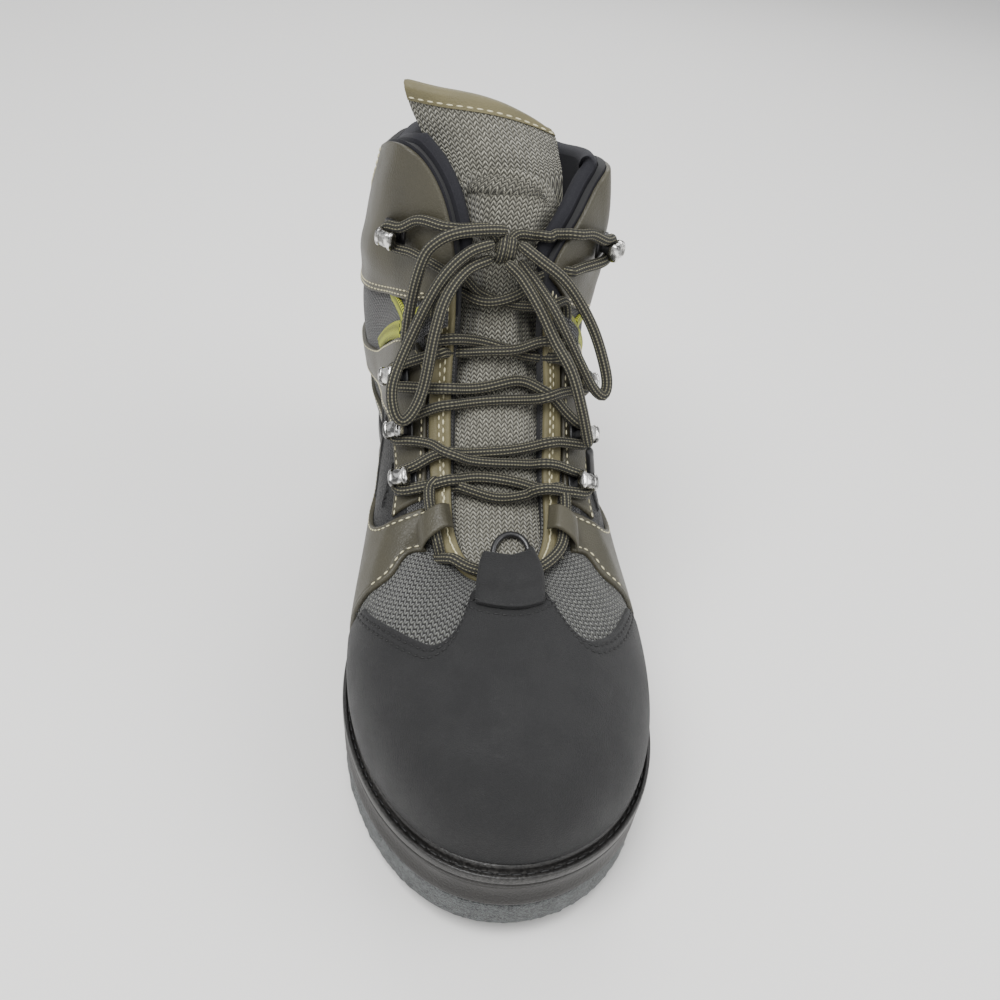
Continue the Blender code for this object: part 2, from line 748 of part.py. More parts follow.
def add_loft(name, loops, made_of):
    """Solid through closed loops of equal count, capped at both ends."""
    count, points = loops.shape[:2]
    faces = []
    for i in range(count - 1):
        for j in range(points):
            a, b = i * points + j, i * points + (j + 1) % points
            faces.append((a, b, b + points))
            faces.append((a, b + points, a + points))
    faces.append(tuple(range(points)))
    faces.append(tuple(range((count - 1) * points, count * points)))
    return add_mesh(name, loops, faces, made_of)


def slab_loops(levels, start, end, stations):
    """Loops of a sole layer: levels are (inset, height function) pairs, start and end shares of length."""
    loops = []
    for inset, height in levels:
        footprint = Footprint(inset)
        first = footprint.toe_y if start <= 0 else start * SOLE_LENGTH + HEEL_REACH - SOLE_LENGTH
        last = footprint.heel_y if end >= 1 else end * SOLE_LENGTH + HEEL_REACH - SOLE_LENGTH
        y = first + (last - first) * (1 - np.cos(np.pi * np.arange(stations + 1) / stations)) / 2
        inner = np.stack([footprint.inner_x(y), y, height(y)], axis=1)
        outer = np.stack([footprint.outer_x(y), y, height(y)], axis=1)
        loops.append(np.concatenate([inner, outer[::-1]]))
    return np.array(loops)


def add_slab(name, levels, start, end, made_of, stations=28):
    """Sole layer between two shares of the length, its top and bottom made of strips across."""
    loops = slab_loops(levels, start, end, stations)
    count, points = loops.shape[:2]
    faces = []
    for i in range(count - 1):
        for j in range(points):
            a, b = i * points + j, i * points + (j + 1) % points
            faces.append((a, b, b + points, a + points))
    for base in (0, (count - 1) * points):
        for j in range(stations):
            faces.append((base + j, base + j + 1, base + points - 2 - j, base + points - 1 - j))
    return add_mesh(name, loops, faces, made_of)


def arch(y):
    """How far the midsole's underside rises between forefoot and heel."""
    share = (along_share(y) - FOREFOOT_END) / (HEEL_START - FOREFOOT_END)
    return ARCH_RISE * np.sin(np.pi * np.clip(share, 0, 1)) ** 2


def add_sole():
    """Felt outsole in two parts, midsole with its heel, and insole."""
    felt = material("felt", GREY_FELT, 0.95)
    rubber = material("rubber", BLACK_RUBBER, 0.5)
    under = [
        (FELT_INSET, toe_lift),
        (FELT_INSET, lambda y: toe_lift(y) + FELT_THICK),
    ]
    add_slab("felt_forefoot", under, 0, FOREFOOT_END, felt)
    add_slab("felt_heel", under, HEEL_START, 1, felt, stations=18)
    bottom = lambda y: toe_lift(y) + FELT_THICK + CLEAR + arch(y)
    middle = lambda share: lambda y: bottom(y) * (1 - share) + seat(y) * share
    levels = [(level.inset, middle(level.rise)) for level in MIDSOLE_SIDE]
    add_slab("midsole", levels, 0, 1, rubber, stations=32)
    top = lambda y: seat(y) + CLEAR + INSOLE_THICK
    inset = WELT_MARGIN + WALL + INSOLE_GAP
    levels = [(inset, lambda y: seat(y) + CLEAR), (inset, top)]
    add_slab("insole", levels, 0, 1, material("insole_foam", BLACK_MESH, 0.9))


def add_welt():
    """Stitched welt round the upper, with a raised bead, a groove for the stitches and a lip."""
    place = places()
    outer_line = Footprint(0).at(place)
    outward = outer_line - FEATHER.at(place)
    outward /= np.linalg.norm(outward, axis=1)[:, None]

    def standing(plan, height):
        return np.column_stack([plan, seat(plan[:, 1]) + CLEAR + height])

    def bead(height):
        return facet(place, share_at_height(place, height), CLEAR)

    bead_low = standing(bead(0)[:, :2], 0)
    bead_mid = bead(WELT_THICK)
    bead_top = bead(WELT_THICK + BEAD_HEIGHT)
    bead_side = bead_top + np.column_stack([outward * BEAD_WIDTH * 0.7, [-BEAD_HEIGHT * 0.3] * len(place)])
    foot = bead_mid[:, :2] + outward * BEAD_WIDTH

    def flange(share, height):
        return standing(foot * (1 - share) + outer_line * share, height)

    sections = [
        bead_low,
        bead_mid,
        bead_top,
        bead_side,
        flange(0.00, WELT_THICK),
        flange(0.30, WELT_THICK - GROOVE_DEPTH),
        flange(0.60, WELT_THICK),
        flange(0.92, WELT_THICK * 0.95),
        flange(1.00, WELT_THICK * 0.40),
        flange(0.96, 0.0),
    ]
    add_ring("welt", np.stack(sections, axis=1), material("welt_rubber", BLACK_RUBBER, 0.45))


def add_upper():
    """Hollow upper of one wall, open at collar, throat and underneath."""
    inner = GRID_POINT - GRID_NORMAL * WALL
    inner[:, 0, 2] = GRID_POINT[:, 0, 2]
    add_wall("upper", inner, GRID_POINT, material("upper_knit", KNIT_GREY, 0.9), closed=True)


def smooth_rows(rows, count):
    """Rows of a table read at count even steps from the first to the last, on a smooth curve."""
    rows = np.asarray(rows, float)
    padded = np.concatenate([2 * rows[:1] - rows[1:2], rows, 2 * rows[-1:] - rows[-2:-1]])
    at = np.linspace(0, len(rows) - 1, count)
    cell = np.minimum(at.astype(int), len(rows) - 2)
    t = (at - cell)[:, None]
    a, b, c, d = (padded[cell + i] for i in range(4))
    return b + 0.5 * t * (c - a + t * (2 * a - 5 * b + 4 * c - d + t * (3 * (b - c) + d - a)))


def mirrored(table):
    """A table from the inner side carried on over the middle to the outer side."""
    other = [Band(-row.low_place, row.low_share, -row.high_place, row.high_share) for row in table[::-1]]
    if table[-1].low_place > 0.5:
        other = [Band(2 + row.low_place, row.low_share, 2 + row.high_place, row.high_share) for row in other]
    return table + other[1:]


def band_outline(table, count):
    """Closed outline of a piece laid on the upper, as places and shares."""
    low_place, low_share, high_place, high_share = smooth_rows(table, count).T
    low_share = np.maximum(low_share, share_at_height(low_place, WELT_THICK + BEAD_HEIGHT + CLEAR))
    low, high = np.column_stack([low_place, low_share]), np.column_stack([high_place, high_share])
    return np.concatenate([low, high[::-1]])


def inside(outline, points):
    """Whether each point lies within the closed outline."""
    x, y = points[:, 0, None], points[:, 1, None]
    x0, y0 = outline.T
    x1, y1 = np.roll(outline, -1, axis=0).T
    spans = (y0 > y) != (y1 > y)
    level = np.where(y1 == y0, 1.0, y1 - y0)
    crossing = x0 + (y - y0) / level * (x1 - x0)
    return (spans & (x < crossing)).sum(axis=1) % 2 == 1


def cut_facets(outline):
    """Triangles of the upper's own facets within an outline, in places and shares."""
    first = math.floor(outline[:, 0].min() * SIDE_STATIONS)
    last = math.ceil(outline[:, 0].max() * SIDE_STATIONS)
    points = [tuple(point) for point in outline]
    edges = [(i, (i + 1) % len(points)) for i in range(len(points))]
    start, tall = len(points), WALL_ROWS + 1
    for i in range(first, last + 1):
        for j in range(tall):
            points.append((i / SIDE_STATIONS, j / WALL_ROWS))
    for i in range(last - first + 1):
        for j in range(tall):
            here = start + i * tall + j
            if j < WALL_ROWS:
                edges.append((here, here + 1))
            if i < last - first:
                edges.append((here, here + tall))
            if j < WALL_ROWS and i < last - first:
                edges.append((here, here + tall + 1))
    made, _, faces, *_ = delaunay_2d_cdt(points, edges, [], 0, 1e-7)
    made = np.array([tuple(point) for point in made])
    middles = made[np.array(faces)].mean(axis=1)
    return made, [face for face, kept in zip(faces, inside(outline, middles)) if kept]


def add_overlay(name, outline, made_of, lift=0.0):
    """Piece of leather laid on the upper, CLEAR above it."""
    made, faces = cut_facets(outline)
    used = sorted({i for face in faces for i in face})
    order = {old: new for new, old in enumerate(used)}
    faces = [tuple(order[i] for i in face) for face in faces]
    place, share = made[used].T
    share = np.clip(share, 0, 1)
    low = facet(place, share, CLEAR + lift)
    high = facet(place, share, CLEAR + lift + OVERLAY)
    count = len(used)
    seen = {}
    for face in faces:
        for a, b in zip(face, face[1:] + face[:1]):
            seen[(a, b)] = True
    solid = [tuple(i + count for i in face) for face in faces] + [face[::-1] for face in faces]
    for a, b in seen:
        if (b, a) not in seen:
            solid.append((b, a, a + count, b + count))
    return add_mesh(name, np.concatenate([low, high]), solid, made_of)


def add_overlays():
    """Toe cap, quarter, facing, cuff and throat trim."""
    leather = material("olive_leather", OLIVE_LEATHER, 0.55)
    add_overlay("toe_cap", band_outline(TOE_CAP, 28), material("black_nubuck", BLACK_NUBUCK, 0.7))
    trim = material("olive_trim", OLIVE_TRIM, 0.6)
    add_overlay("throat_trim", band_outline(mirrored(THROAT_TRIM), 26), trim)
    add_overlay("facing", band_outline(mirrored(FACING), 34), leather)
    add_overlay("cuff", band_outline(mirrored(CUFF), 27), leather)
    add_overlay("quarter", band_outline(mirrored(QUARTER), 38), leather)


def beyond_edge(place, height, out):
    """Point past the collar and throat edge by height, in line with the wall, moved outwards by out."""
    rim = facet(place, 1.0, out)
    way = facet(place, 1.0, out) - facet(place, 1 - 1 / WALL_ROWS, out)
    return rim + way / np.linalg.norm(way, axis=-1)[..., None] * np.asarray(height, float)[..., None]


def bridge(start, start_way, end, end_way, count):
    """Points of a smooth arch between two edges that leaves each along its own way."""
    t = np.linspace(0, 1, count)[:, None]
    reach = np.linalg.norm(end - start)
    h00, h10 = 2 * t**3 - 3 * t**2 + 1, t**3 - 2 * t**2 + t
    h01, h11 = -2 * t**3 + 3 * t**2, t**3 - t**2
    return h00 * start + h10 * reach * start_way + h01 * end - h11 * reach * end_way


def tongue_front():
    """Grid of the tongue's front face, from under the vamp to its free top."""
    under = WALL + CLEAR * 2
    tuck = np.linspace(0.27, -0.27, 9)
    rows = [facet(tuck, 0.86, -under - CLEAR * 4), facet(tuck, 0.985, -under - CLEAR * 4)]
    for station in range(9, 22):
        padded = ease((station - 14) / 4)
        depth = under + (PADDING + CLEAR) * padded
        ahead = (PADDING_ROLL + CLEAR * 3) * ease((station - 15) / 3)
        sides = []
        for place in (station / SIDE_STATIONS, 2 - station / SIDE_STATIONS):
            lap = facet(place, np.array([0.84, 0.90]), -depth)
            sides.append(np.concatenate([lap, beyond_edge(place, ahead, -depth)[None]]))
        ways = [side[2] - side[1] for side in sides]
        crown = 0.2 + 0.8 * ease((station - 9) / 4)
        ways = [way / np.linalg.norm(way) * crown for way in ways]
        arch_points = bridge(sides[0][2], ways[0], sides[1][2], ways[1], 5)
        rows.append(np.concatenate([sides[0][:2], arch_points, sides[1][:2][::-1]]))
    across = np.linspace(-1, 1, 9)
    toe_y = HEEL_REACH - SOLE_LENGTH
    for row in TONGUE_FLAP:
        middle, half = (row.inner + row.outer) / 2, (row.outer - row.inner) / 2
        back = np.where(across < 0, row.inner_back, row.outer_back) * across**2
        fall = np.clip((across + 0.3) / 1.3, 0, 1) ** 2 * row.outer_fall
        x = (middle + half * across) * BALL_WIDTH
        y = toe_y + (row.along + back) * SOLE_LENGTH
        rows.append(np.column_stack([x, y, (row.up - fall) * TONGUE_TOP]))
    return np.array(rows)


def backed(front, thick):
    """Grid parallel to a front face, thick behind it."""
    along = np.gradient(front, axis=0)
    across = np.gradient(front, axis=1)
    normal = np.cross(across, along)
    normal /= np.linalg.norm(normal, axis=-1)[..., None]
    return front - normal * thick


def add_tongue():
    """Tongue and the binding over its top edge."""
    front = tongue_front()
    back = backed(front, TONGUE_THICK)
    top, below = front[-1].copy(), front[-2].copy()
    reach = np.linalg.norm(top - below, axis=-1).mean()
    share = BINDING / reach
    seam, seam_back = (grid[-1] * (1 - share) + grid[-2] * share for grid in (front, back))
    gap = CLEAR / reach
    end, end_back = (grid[-1] * (1 - share - gap) + grid[-2] * (share + gap) for grid in (front, back))
    knit = material("tongue_knit", KNIT_GREY, 0.9)
    add_wall(
        "tongue",
        np.concatenate([back[:-1], end_back[None]]),
        np.concatenate([front[:-1], end[None]]),
        knit,
    )
    trim = bpy.data.materials["olive_trim"]
    add_wall("tongue_binding", np.stack([seam_back, back[-1]]), np.stack([seam, front[-1]]), trim)


def add_padding():
    """Collar padding inside the cuff, with a roll that stands above the edge."""
    first = 19
    place = np.arange(first, 2 * SIDE_STATIONS - first + 1) / SIDE_STATIONS
    face = -(WALL + CLEAR)
    section = [facet(place, fold.share, face) for fold in PADDING_SIDE[::-1]]
    for turn in np.radians([160, 120, 80, 40, 10]):
        height = PADDING_ROLL * np.sin(turn)
        depth = face - PADDING * (1 - math.cos(math.pi - turn)) / 2
        section.append(beyond_edge(place, height, depth))
    for fold in PADDING_SIDE:
        section.append(facet(place, fold.share, face - PADDING * fold.depth))
    loops = np.stack(section, axis=1)
    add_loft("collar_padding", loops, material("navy_foam", NAVY_FOAM, 0.8))


def add_keeper():
    """Tab of the toe cap that stands over the throat's foot and holds the lace down."""
    share = np.array([row.share for row in KEEPER])
    out = np.array([row.out for row in KEEPER]) * LACE
    foot, tip_place = np.array(KEEPER_PLACES).T
    slide = (share - share[0]) / (share[-1] - share[0])
    place = foot[:, None] + (tip_place - foot)[:, None] * slide
    low = facet(place, share, out)
    high = facet(place, share, out + STRAP_THICK)
    last = place[:, -1:]
    tip = np.full(last.shape, KEEPER_TIP)
    low = np.concatenate([low, beyond_edge(last, tip, out[-1:])], axis=1)
    high = np.concatenate([high, beyond_edge(last, tip, out[-1:] + STRAP_THICK)], axis=1)
    add_wall("keeper_tab", low, high, bpy.data.materials["black_nubuck"])


def add_lace_bands():
    """Leather bands at the throat's foot and webbing loops at its head that hold the lace."""
    share = np.array([row.share for row in LACE_BAND])
    out = np.array([row.out for row in LACE_BAND]) * LACE
    leather = bpy.data.materials["olive_leather"]
    webbing = material("webbing", WEBBING, 0.8)
    for word, side in (("inner", 1), ("outer", -1)):
        for kind, stops, made_of in (
            ("lace_band", LACE_BAND_PLACES, leather),
            ("webbing_loop", WEBBING_LOOP_PLACES, webbing),
        ):
            place = side * np.array(stops)[:, None]
            low, high = facet(place, share, out), facet(place, share, out + STRAP_THICK)
            add_wall(f"{kind}_{word}", low, high, made_of)
        arms = np.array([(2 - row.place if side < 0 else row.place, row.share) for row in WEBBING_ARMS])
        add_overlay(f"webbing_{word}", arms, webbing)


def hook_frame(hook):
    """Middle of a hook's base, the ways towards the tongue and up the throat, and the normal."""
    seat_out = CLEAR + OVERLAY + HOOK_SEAT
    base = facet(hook.place, hook.share, seat_out)
    normal = facet(hook.place, hook.share, seat_out + 1) - base
    normal /= np.linalg.norm(normal)
    towards = np.array([-math.copysign(1.0, base[0]), 0.0, 0.0])
    towards -= normal * (towards @ normal)
    towards /= np.linalg.norm(towards)
    upward = np.cross(normal, towards)
    upward *= math.copysign(1.0, upward[2])
    return base, towards, upward, normal


def add_hooks():
    """Lace hooks: a plate, a neck that the lace runs round, and a head."""
    metal = material("bright_metal", BRIGHT_METAL, 0.25, 1.0)
    head_low = HOOK_PLATE_THICK + LACE + CLEAR * 2
    levels = [
        (0, HOOK_PLATE_WIDTH, HOOK_PLATE_HEIGHT, HOOK_PLATE_SHIFT),
        (HOOK_PLATE_THICK, HOOK_PLATE_WIDTH, HOOK_PLATE_HEIGHT, HOOK_PLATE_SHIFT),
        (HOOK_PLATE_THICK, HOOK_NECK, HOOK_NECK, 0),
        (head_low, HOOK_NECK, HOOK_NECK, 0),
        (head_low, HOOK_HEAD_WIDTH, HOOK_HEAD_HEIGHT, 0),
        (head_low + HOOK_HEAD_THICK, HOOK_HEAD_WIDTH, HOOK_HEAD_HEIGHT, 0),
    ]
    for hook in LACE_HOOKS:
        base, towards, upward, normal = hook_frame(hook)
        loops = []
        for height, width, tall, shift in levels:
            a, b = width / 2, tall / 2
            cut = min(a, b) / 2
            corners = [(a, b - cut), (a - cut, b), (cut - a, b), (-a, b - cut)]
            corners += [(-x, -y) for x, y in corners]
            loops.append([base + normal * height + towards * (x - shift) + upward * y for x, y in corners])
        add_loft(hook.name, np.array(loops), metal)


def spots(rows):
    """Points of a table of spots."""
    toe_y = HEEL_REACH - SOLE_LENGTH
    table = np.array(rows)
    return np.column_stack(
        [table[:, 0] * BALL_WIDTH, toe_y + table[:, 1] * SOLE_LENGTH, table[:, 2] * COLLAR_HEIGHT]
    )


def surface_tree(names):
    """Search tree of the faces of some sub-parts."""
    corners, faces = [], []
    for name in names:
        mesh = bpy.data.objects[name].data
        base = len(corners)
        corners += [vertex.co.copy() for vertex in mesh.vertices]
        faces += [tuple(base + i for i in face.vertices) for face in mesh.polygons]
    return BVHTree.FromPolygons(corners, faces)


def front_y(x, z, tree):
    """Where a line of sight from the front meets the faces of a tree."""
    return tree.ray_cast(Vector((x, -SOLE_LENGTH, z)), Vector((0.0, 1.0, 0.0)))[0].y


def passes(rows, tree):
    """Points of a strand in front of what it lies on, moved out until it is clear of it."""
    table = [(row.out * BALL_WIDTH, row.up * COLLAR_HEIGHT, row.over) for row in rows]
    points = []
    for x, z, over in smooth_rows(table, STRAND_STATIONS):
        near = min(front_y(x + step, z, tree) for step in (-LACE, 0.0, LACE))
        reach = LACE * (0.5 + over) + STRAND_ROOM
        point = np.array([x, near - reach, z])
        for _ in range(SETTLING_TURNS):
            spot, normal, *_ = tree.find_nearest(Vector(point))
            away = point - np.array(spot)
            height = math.copysign(np.linalg.norm(away), away @ np.array(normal))
            point = point + np.array(normal) * (reach - height)
        points.append(point)
    return np.array(points)


def laid(rows, side=1):
    """The lace's middle where it lies on the throat trim."""
    out = CLEAR * 2 + OVERLAY + LACE / 2
    return np.array([facet(side * row.place, row.share, out + LACE_LIFT) for row in rows])


def round_hook(name, side):
    """Points of the lace that comes to a hook from the tongue and runs round its neck."""
    hook = next(row for row in LACE_HOOKS if row.name == name)
    base, towards, upward, normal = hook_frame(hook)
    middle = base + normal * (HOOK_PLATE_THICK + CLEAR + LACE / 2)
    reach = HOOK_NECK * NECK_CORNER + CLEAR + LACE / 2
    ways = [(0.75, 1.0), (0.0, 1.0), (-0.75, 0.75)]
    points = [middle + reach * (a * towards + b * side * upward) for a, b in ways]
    points.append(middle - reach * towards + side * upward * CLEAR * 2.5)
    return np.array(points)


def spaced(path):
    """Path without the points that lie too close behind one another for a lace to bend."""
    kept = [path[0]]
    for point in path[1:]:
        if np.linalg.norm(point - kept[-1]) >= LACE * STATION_GAP:
            kept.append(point)
    return np.array(kept)


def tube_loops(route):
    """Sections of a lace strand along a route."""
    path = spaced(smooth_rows(route, math.ceil(len(route) * STATIONS_PER_POINT)))
    way = np.gradient(path, axis=0)
    way /= np.linalg.norm(way, axis=1)[:, None]
    side = np.cross(way[0], TUBE_START_SIDE)
    turns = np.linspace(0, 2 * np.pi, TUBE_SIDES, endpoint=False)[:, None]
    loops = []
    for point, ahead in zip(path, way):
        side = side - ahead * (side @ ahead)
        side /= np.linalg.norm(side)
        other = np.cross(ahead, side)
        loops.append(point + LACE / 2 * (np.cos(turns) * side + np.sin(turns) * other))
    return np.array(loops)


def add_crossing(name, first, second, made_of):
    """Two strands of the lace joined where they cross."""
    crossing = add_loft(name, tube_loops(first), made_of)
    other = add_loft(name + "_other", tube_loops(second), made_of)
    other.hide_render = True
    other.display_type = "WIRE"
    joined = crossing.modifiers.new("join", "BOOLEAN")
    joined.operation = "UNION"
    joined.solver = "EXACT"
    joined.object = other


def add_cord(name, route, diameter, made_of):
    """Cord through a smooth curve along a route."""
    fine = smooth_rows(route, 40 * len(route))
    run = np.concatenate([[0], np.cumsum(np.linalg.norm(np.diff(fine, axis=0), axis=1))])
    count = max(3, math.ceil(run[-1] / (CORD_POINT_GAP * diameter)) + 1)
    at = np.linspace(0, run[-1], count)
    points = np.column_stack([np.interp(at, run, fine[:, axis]) for axis in range(3)])
    curve = bpy.data.curves.new(name, "CURVE")
    curve.dimensions = "3D"
    curve.bevel_depth = diameter / 2
    curve.bevel_resolution = CORD_SIDES_RESOLUTION
    curve.use_fill_caps = True
    spline = curve.splines.new("POLY")
    spline.points.add(count - 1)
    for corner, point in zip(spline.points, points):
        corner.co = (*point, 1)
    curve.materials.append(made_of)
    made = bpy.data.objects.new(name, curve)
    bpy.context.collection.objects.link(made)


def add_lace():
    """Lace under its bands and round its hooks, with a bow at the top."""
    cord = material("lace", LACE_OLIVE, 0.75)
    join = np.concatenate
    tree = surface_tree(("tongue", "throat_trim", "facing", "cuff", "collar_padding", "upper"))
    add_crossing(
        "lace_toe",
        join([laid(LACE_FOOT)[::-1], passes(TOE_TO_OUTER_1, tree), round_hook("hook_outer_1", -1)]),
        join([laid(LACE_FOOT_TOP), passes(TOE_TO_INNER_1, tree), round_hook("hook_inner_1", -1)]),
        cord,
    )
    for level, rising, falling in (
        (1, INNER_1_TO_OUTER_2, OUTER_1_TO_INNER_2),
        (2, INNER_2_TO_OUTER_3, OUTER_2_TO_INNER_3),
    ):
        strands = []
        for side, other, route in (("inner", "outer", rising), ("outer", "inner", falling)):
            start = round_hook(f"hook_{side}_{level}", 1)[::-1]
            end = round_hook(f"hook_{other}_{level + 1}", -1)
            strands.append(join([start, passes(route, tree), end]))
        add_crossing(f"lace_cross_{level}", *strands, cord)
    add_crossing(
        "lace_cross_3",
        join([round_hook("hook_inner_3", 1)[::-1], passes(INNER_3_TO_LOOP, tree), laid(INTO_LOOP, -1)]),
        join([round_hook("hook_outer_3", 1)[::-1], passes(OUTER_3_TO_LOOP, tree), laid(INTO_LOOP)]),
        cord,
    )
    add_crossing(
        "lace_cross_4",
        join([laid(OUT_OF_LOOP), passes(LOOP_TO_OUTER_4, tree), round_hook("hook_outer_4", -1)]),
        join([laid(OUT_OF_LOOP, -1), passes(LOOP_TO_INNER_4, tree), round_hook("hook_inner_4", -1)]),
        cord,
    )
    for side, route in (("inner", INNER_4_TO_KNOT), ("outer", OUTER_4_TO_KNOT)):
        strand = join([round_hook(f"hook_{side}_4", 1)[::-1], passes(route, tree)])
        add_loft(f"lace_strand_{side}", tube_loops(strand), cord)
    knot = np.array([[0, KNOT_Y, KNOT_Z + KNOT_HEIGHT * (share - 0.5)] for share in (0, 0.5, 1)])
    add_cord("lace_knot", knot, KNOT_WIDTH, cord)
    for name, route in (
        ("lace_loop_inner", spots(LOOP_INNER)),
        ("lace_loop_outer", spots(LOOP_OUTER)),
        ("lace_end_inner", spots(END_INNER)),
        ("lace_end_outer", spots(END_OUTER)),
    ):
        add_cord(name, route, LACE, cord)
    add_cord("aglet_outer", spots(AGLET_OUTER), AGLET, material("black_metal", BLACK_METAL, 0.4))


def add_ring_fitting():
    """D-shaped ring above the keeper tab."""
    half, tall = RING_WIDTH / 2, RING_HEIGHT
    turns = np.radians(np.linspace(0, 180, 9))
    outline = [(-half, 0.0), (0.0, 0.0), (half, 0.0)]
    outline += [(half * np.cos(turn), tall * (0.3 + 0.7 * np.sin(turn))) for turn in turns]
    foot, head = spots(RING_SPOTS)
    up = (head - foot) / np.linalg.norm(head - foot)
    side = np.array([1.0, 0.0, 0.0])
    path = np.array([foot + x * side + y * up for x, y in outline])
    outward = path - (foot + up * tall / 2)
    front = np.cross(side, up)
    outward -= np.outer(outward @ front, front)
    outward /= np.linalg.norm(outward, axis=1)[:, None]
    turns = np.linspace(0, 2 * np.pi, TUBE_SIDES, endpoint=False)
    loops = [path + RING_WIRE / 2 * (np.cos(turn) * outward + np.sin(turn) * front) for turn in turns]
    add_ring("d_ring", np.stack(loops, axis=1), bpy.data.materials["black_metal"])


def main():
    """Build every sub-part."""
    for made in list(bpy.data.objects):
        bpy.data.objects.remove(made, do_unlink=True)
    add_sole()
    add_welt()
    add_upper()
    add_overlays()
    add_tongue()
    add_padding()
    add_keeper()
    add_lace_bands()
    add_hooks()
    add_lace()
    add_ring_fitting()


main()
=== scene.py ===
"""Looks of a felt-soled wading boot for a left foot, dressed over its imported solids.

The origin is on the floor under the middle of the heel. The toe points along -Y, the
inner side of the foot is -X and the outer side +X. Sizes are in metres.
"""

import logging
import math
from dataclasses import dataclass, field
from enum import Enum
from typing import Callable, NamedTuple, Sequence

import bmesh
import bpy
import numpy as np
from bpy.types import Material, Node, NodeSocket, NodeTree, Object
from mathutils import Matrix, Vector
from mathutils.bvhtree import BVHTree


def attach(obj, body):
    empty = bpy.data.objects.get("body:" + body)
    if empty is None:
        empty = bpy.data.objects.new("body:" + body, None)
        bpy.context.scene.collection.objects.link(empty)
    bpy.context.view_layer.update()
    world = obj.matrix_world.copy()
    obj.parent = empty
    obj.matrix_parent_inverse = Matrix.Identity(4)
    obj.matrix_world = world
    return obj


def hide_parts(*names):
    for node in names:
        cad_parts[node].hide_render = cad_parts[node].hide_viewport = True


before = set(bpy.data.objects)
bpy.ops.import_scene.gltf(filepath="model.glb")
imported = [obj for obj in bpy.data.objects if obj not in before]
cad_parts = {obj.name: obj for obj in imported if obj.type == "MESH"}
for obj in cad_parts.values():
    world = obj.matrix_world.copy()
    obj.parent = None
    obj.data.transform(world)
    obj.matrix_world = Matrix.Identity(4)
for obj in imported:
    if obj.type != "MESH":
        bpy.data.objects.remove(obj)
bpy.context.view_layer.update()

LOG = logging.getLogger("wading_boot")
Array = np.ndarray


@dataclass(frozen=True)
class BootSizes:
    """Driving sizes of the boot, the same as those of its solids."""

    sole_length: float = 0.312
    ball_width: float = 0.1145
    heel_reach: float = 0.041
    collar_height: float = 0.204
    felt_thick: float = 0.0105
    midsole_thick: float = 0.0125
    heel_lift: float = 0.013
    toe_spring: float = 0.009
    welt_margin: float = 0.006
    welt_thick: float = 0.003
    bead_height: float = 0.0025
    bead_width: float = 0.0020
    wall: float = 0.0028
    clear: float = 0.0003
    overlay: float = 0.0014
    arch_rise: float = 0.006
    forefoot_end: float = 0.52
    heel_start: float = 0.70
    insole_thick: float = 0.004
    tongue_thick: float = 0.0045
    tongue_top: float = 0.2155
    binding: float = 0.0050
    padding: float = 0.0065
    padding_roll: float = 0.0045
    lace: float = 0.0040
    strap: float = 0.0014
    keeper_tip: float = 0.0010

    @property
    def toe_y(self) -> float:
        """Where the sole's toe stands."""
        return self.heel_reach - self.sole_length


SIZES = BootSizes()


class Plan(NamedTuple):
    """Point of the sole's outline: shares of its length from the toe and of the ball width."""

    along: float
    out: float


class Row(NamedTuple):
    """Meridian of the upper: its edge point and how its foot and crown bend, as shares."""

    place: float
    edge_out: float
    edge_along: float
    edge_up: float
    lean: float
    rise: float
    crown_out: float
    crown_along: float
    crown_fall: float


class Band(NamedTuple):
    """Line across a piece laid on the upper, from its low to its high edge."""

    low_place: float
    low_share: float
    high_place: float
    high_share: float


class Flap(NamedTuple):
    """Line across the free top of the tongue, as shares."""

    up: float
    along: float
    inner: float
    outer: float
    inner_back: float
    outer_back: float
    outer_fall: float


class Spread(NamedTuple):
    """Line of the keeper tab: its place at the foot and at the tip."""

    foot: float
    tip: float


class Fold(NamedTuple):
    """Point of the collar padding's section: share on the upper and share of its depth."""

    share: float
    depth: float


class Rise(NamedTuple):
    """Point of a loop's section: share on the upper and height in laces."""

    share: float
    out: float


class Corner(NamedTuple):
    """Point on the upper."""

    place: float
    share: float


class Hook(NamedTuple):
    """A lace hook and where it stands on the upper."""

    name: str
    place: float
    share: float


class Pass(NamedTuple):
    """Point of a lace strand seen from the front: shares of ball width and collar height.

    over is how many laces it rides above what it lies on.
    """

    out: float
    up: float
    over: float = 0.0


class Spot(NamedTuple):
    """Free point of the lace: shares of ball width, sole length and collar height."""

    out: float
    along: float
    up: float


# Outline of the sole from the toe round the inner side
SOLE_PLAN = [Plan(*row) for row in (
    (0.000, -0.020), (0.020, -0.190), (0.075, -0.330), (0.160, -0.430), (0.260, -0.475),
    (0.360, -0.455), (0.480, -0.375), (0.600, -0.315), (0.720, -0.315), (0.840, -0.335),
    (0.930, -0.290), (0.984, -0.165), (1.000, 0.000), (0.984, 0.170), (0.930, 0.300), (0.840, 0.355),
    (0.720, 0.370), (0.600, 0.405), (0.480, 0.465), (0.370, 0.515), (0.270, 0.525), (0.170, 0.480),
    (0.080, 0.365), (0.021, 0.195),
)]
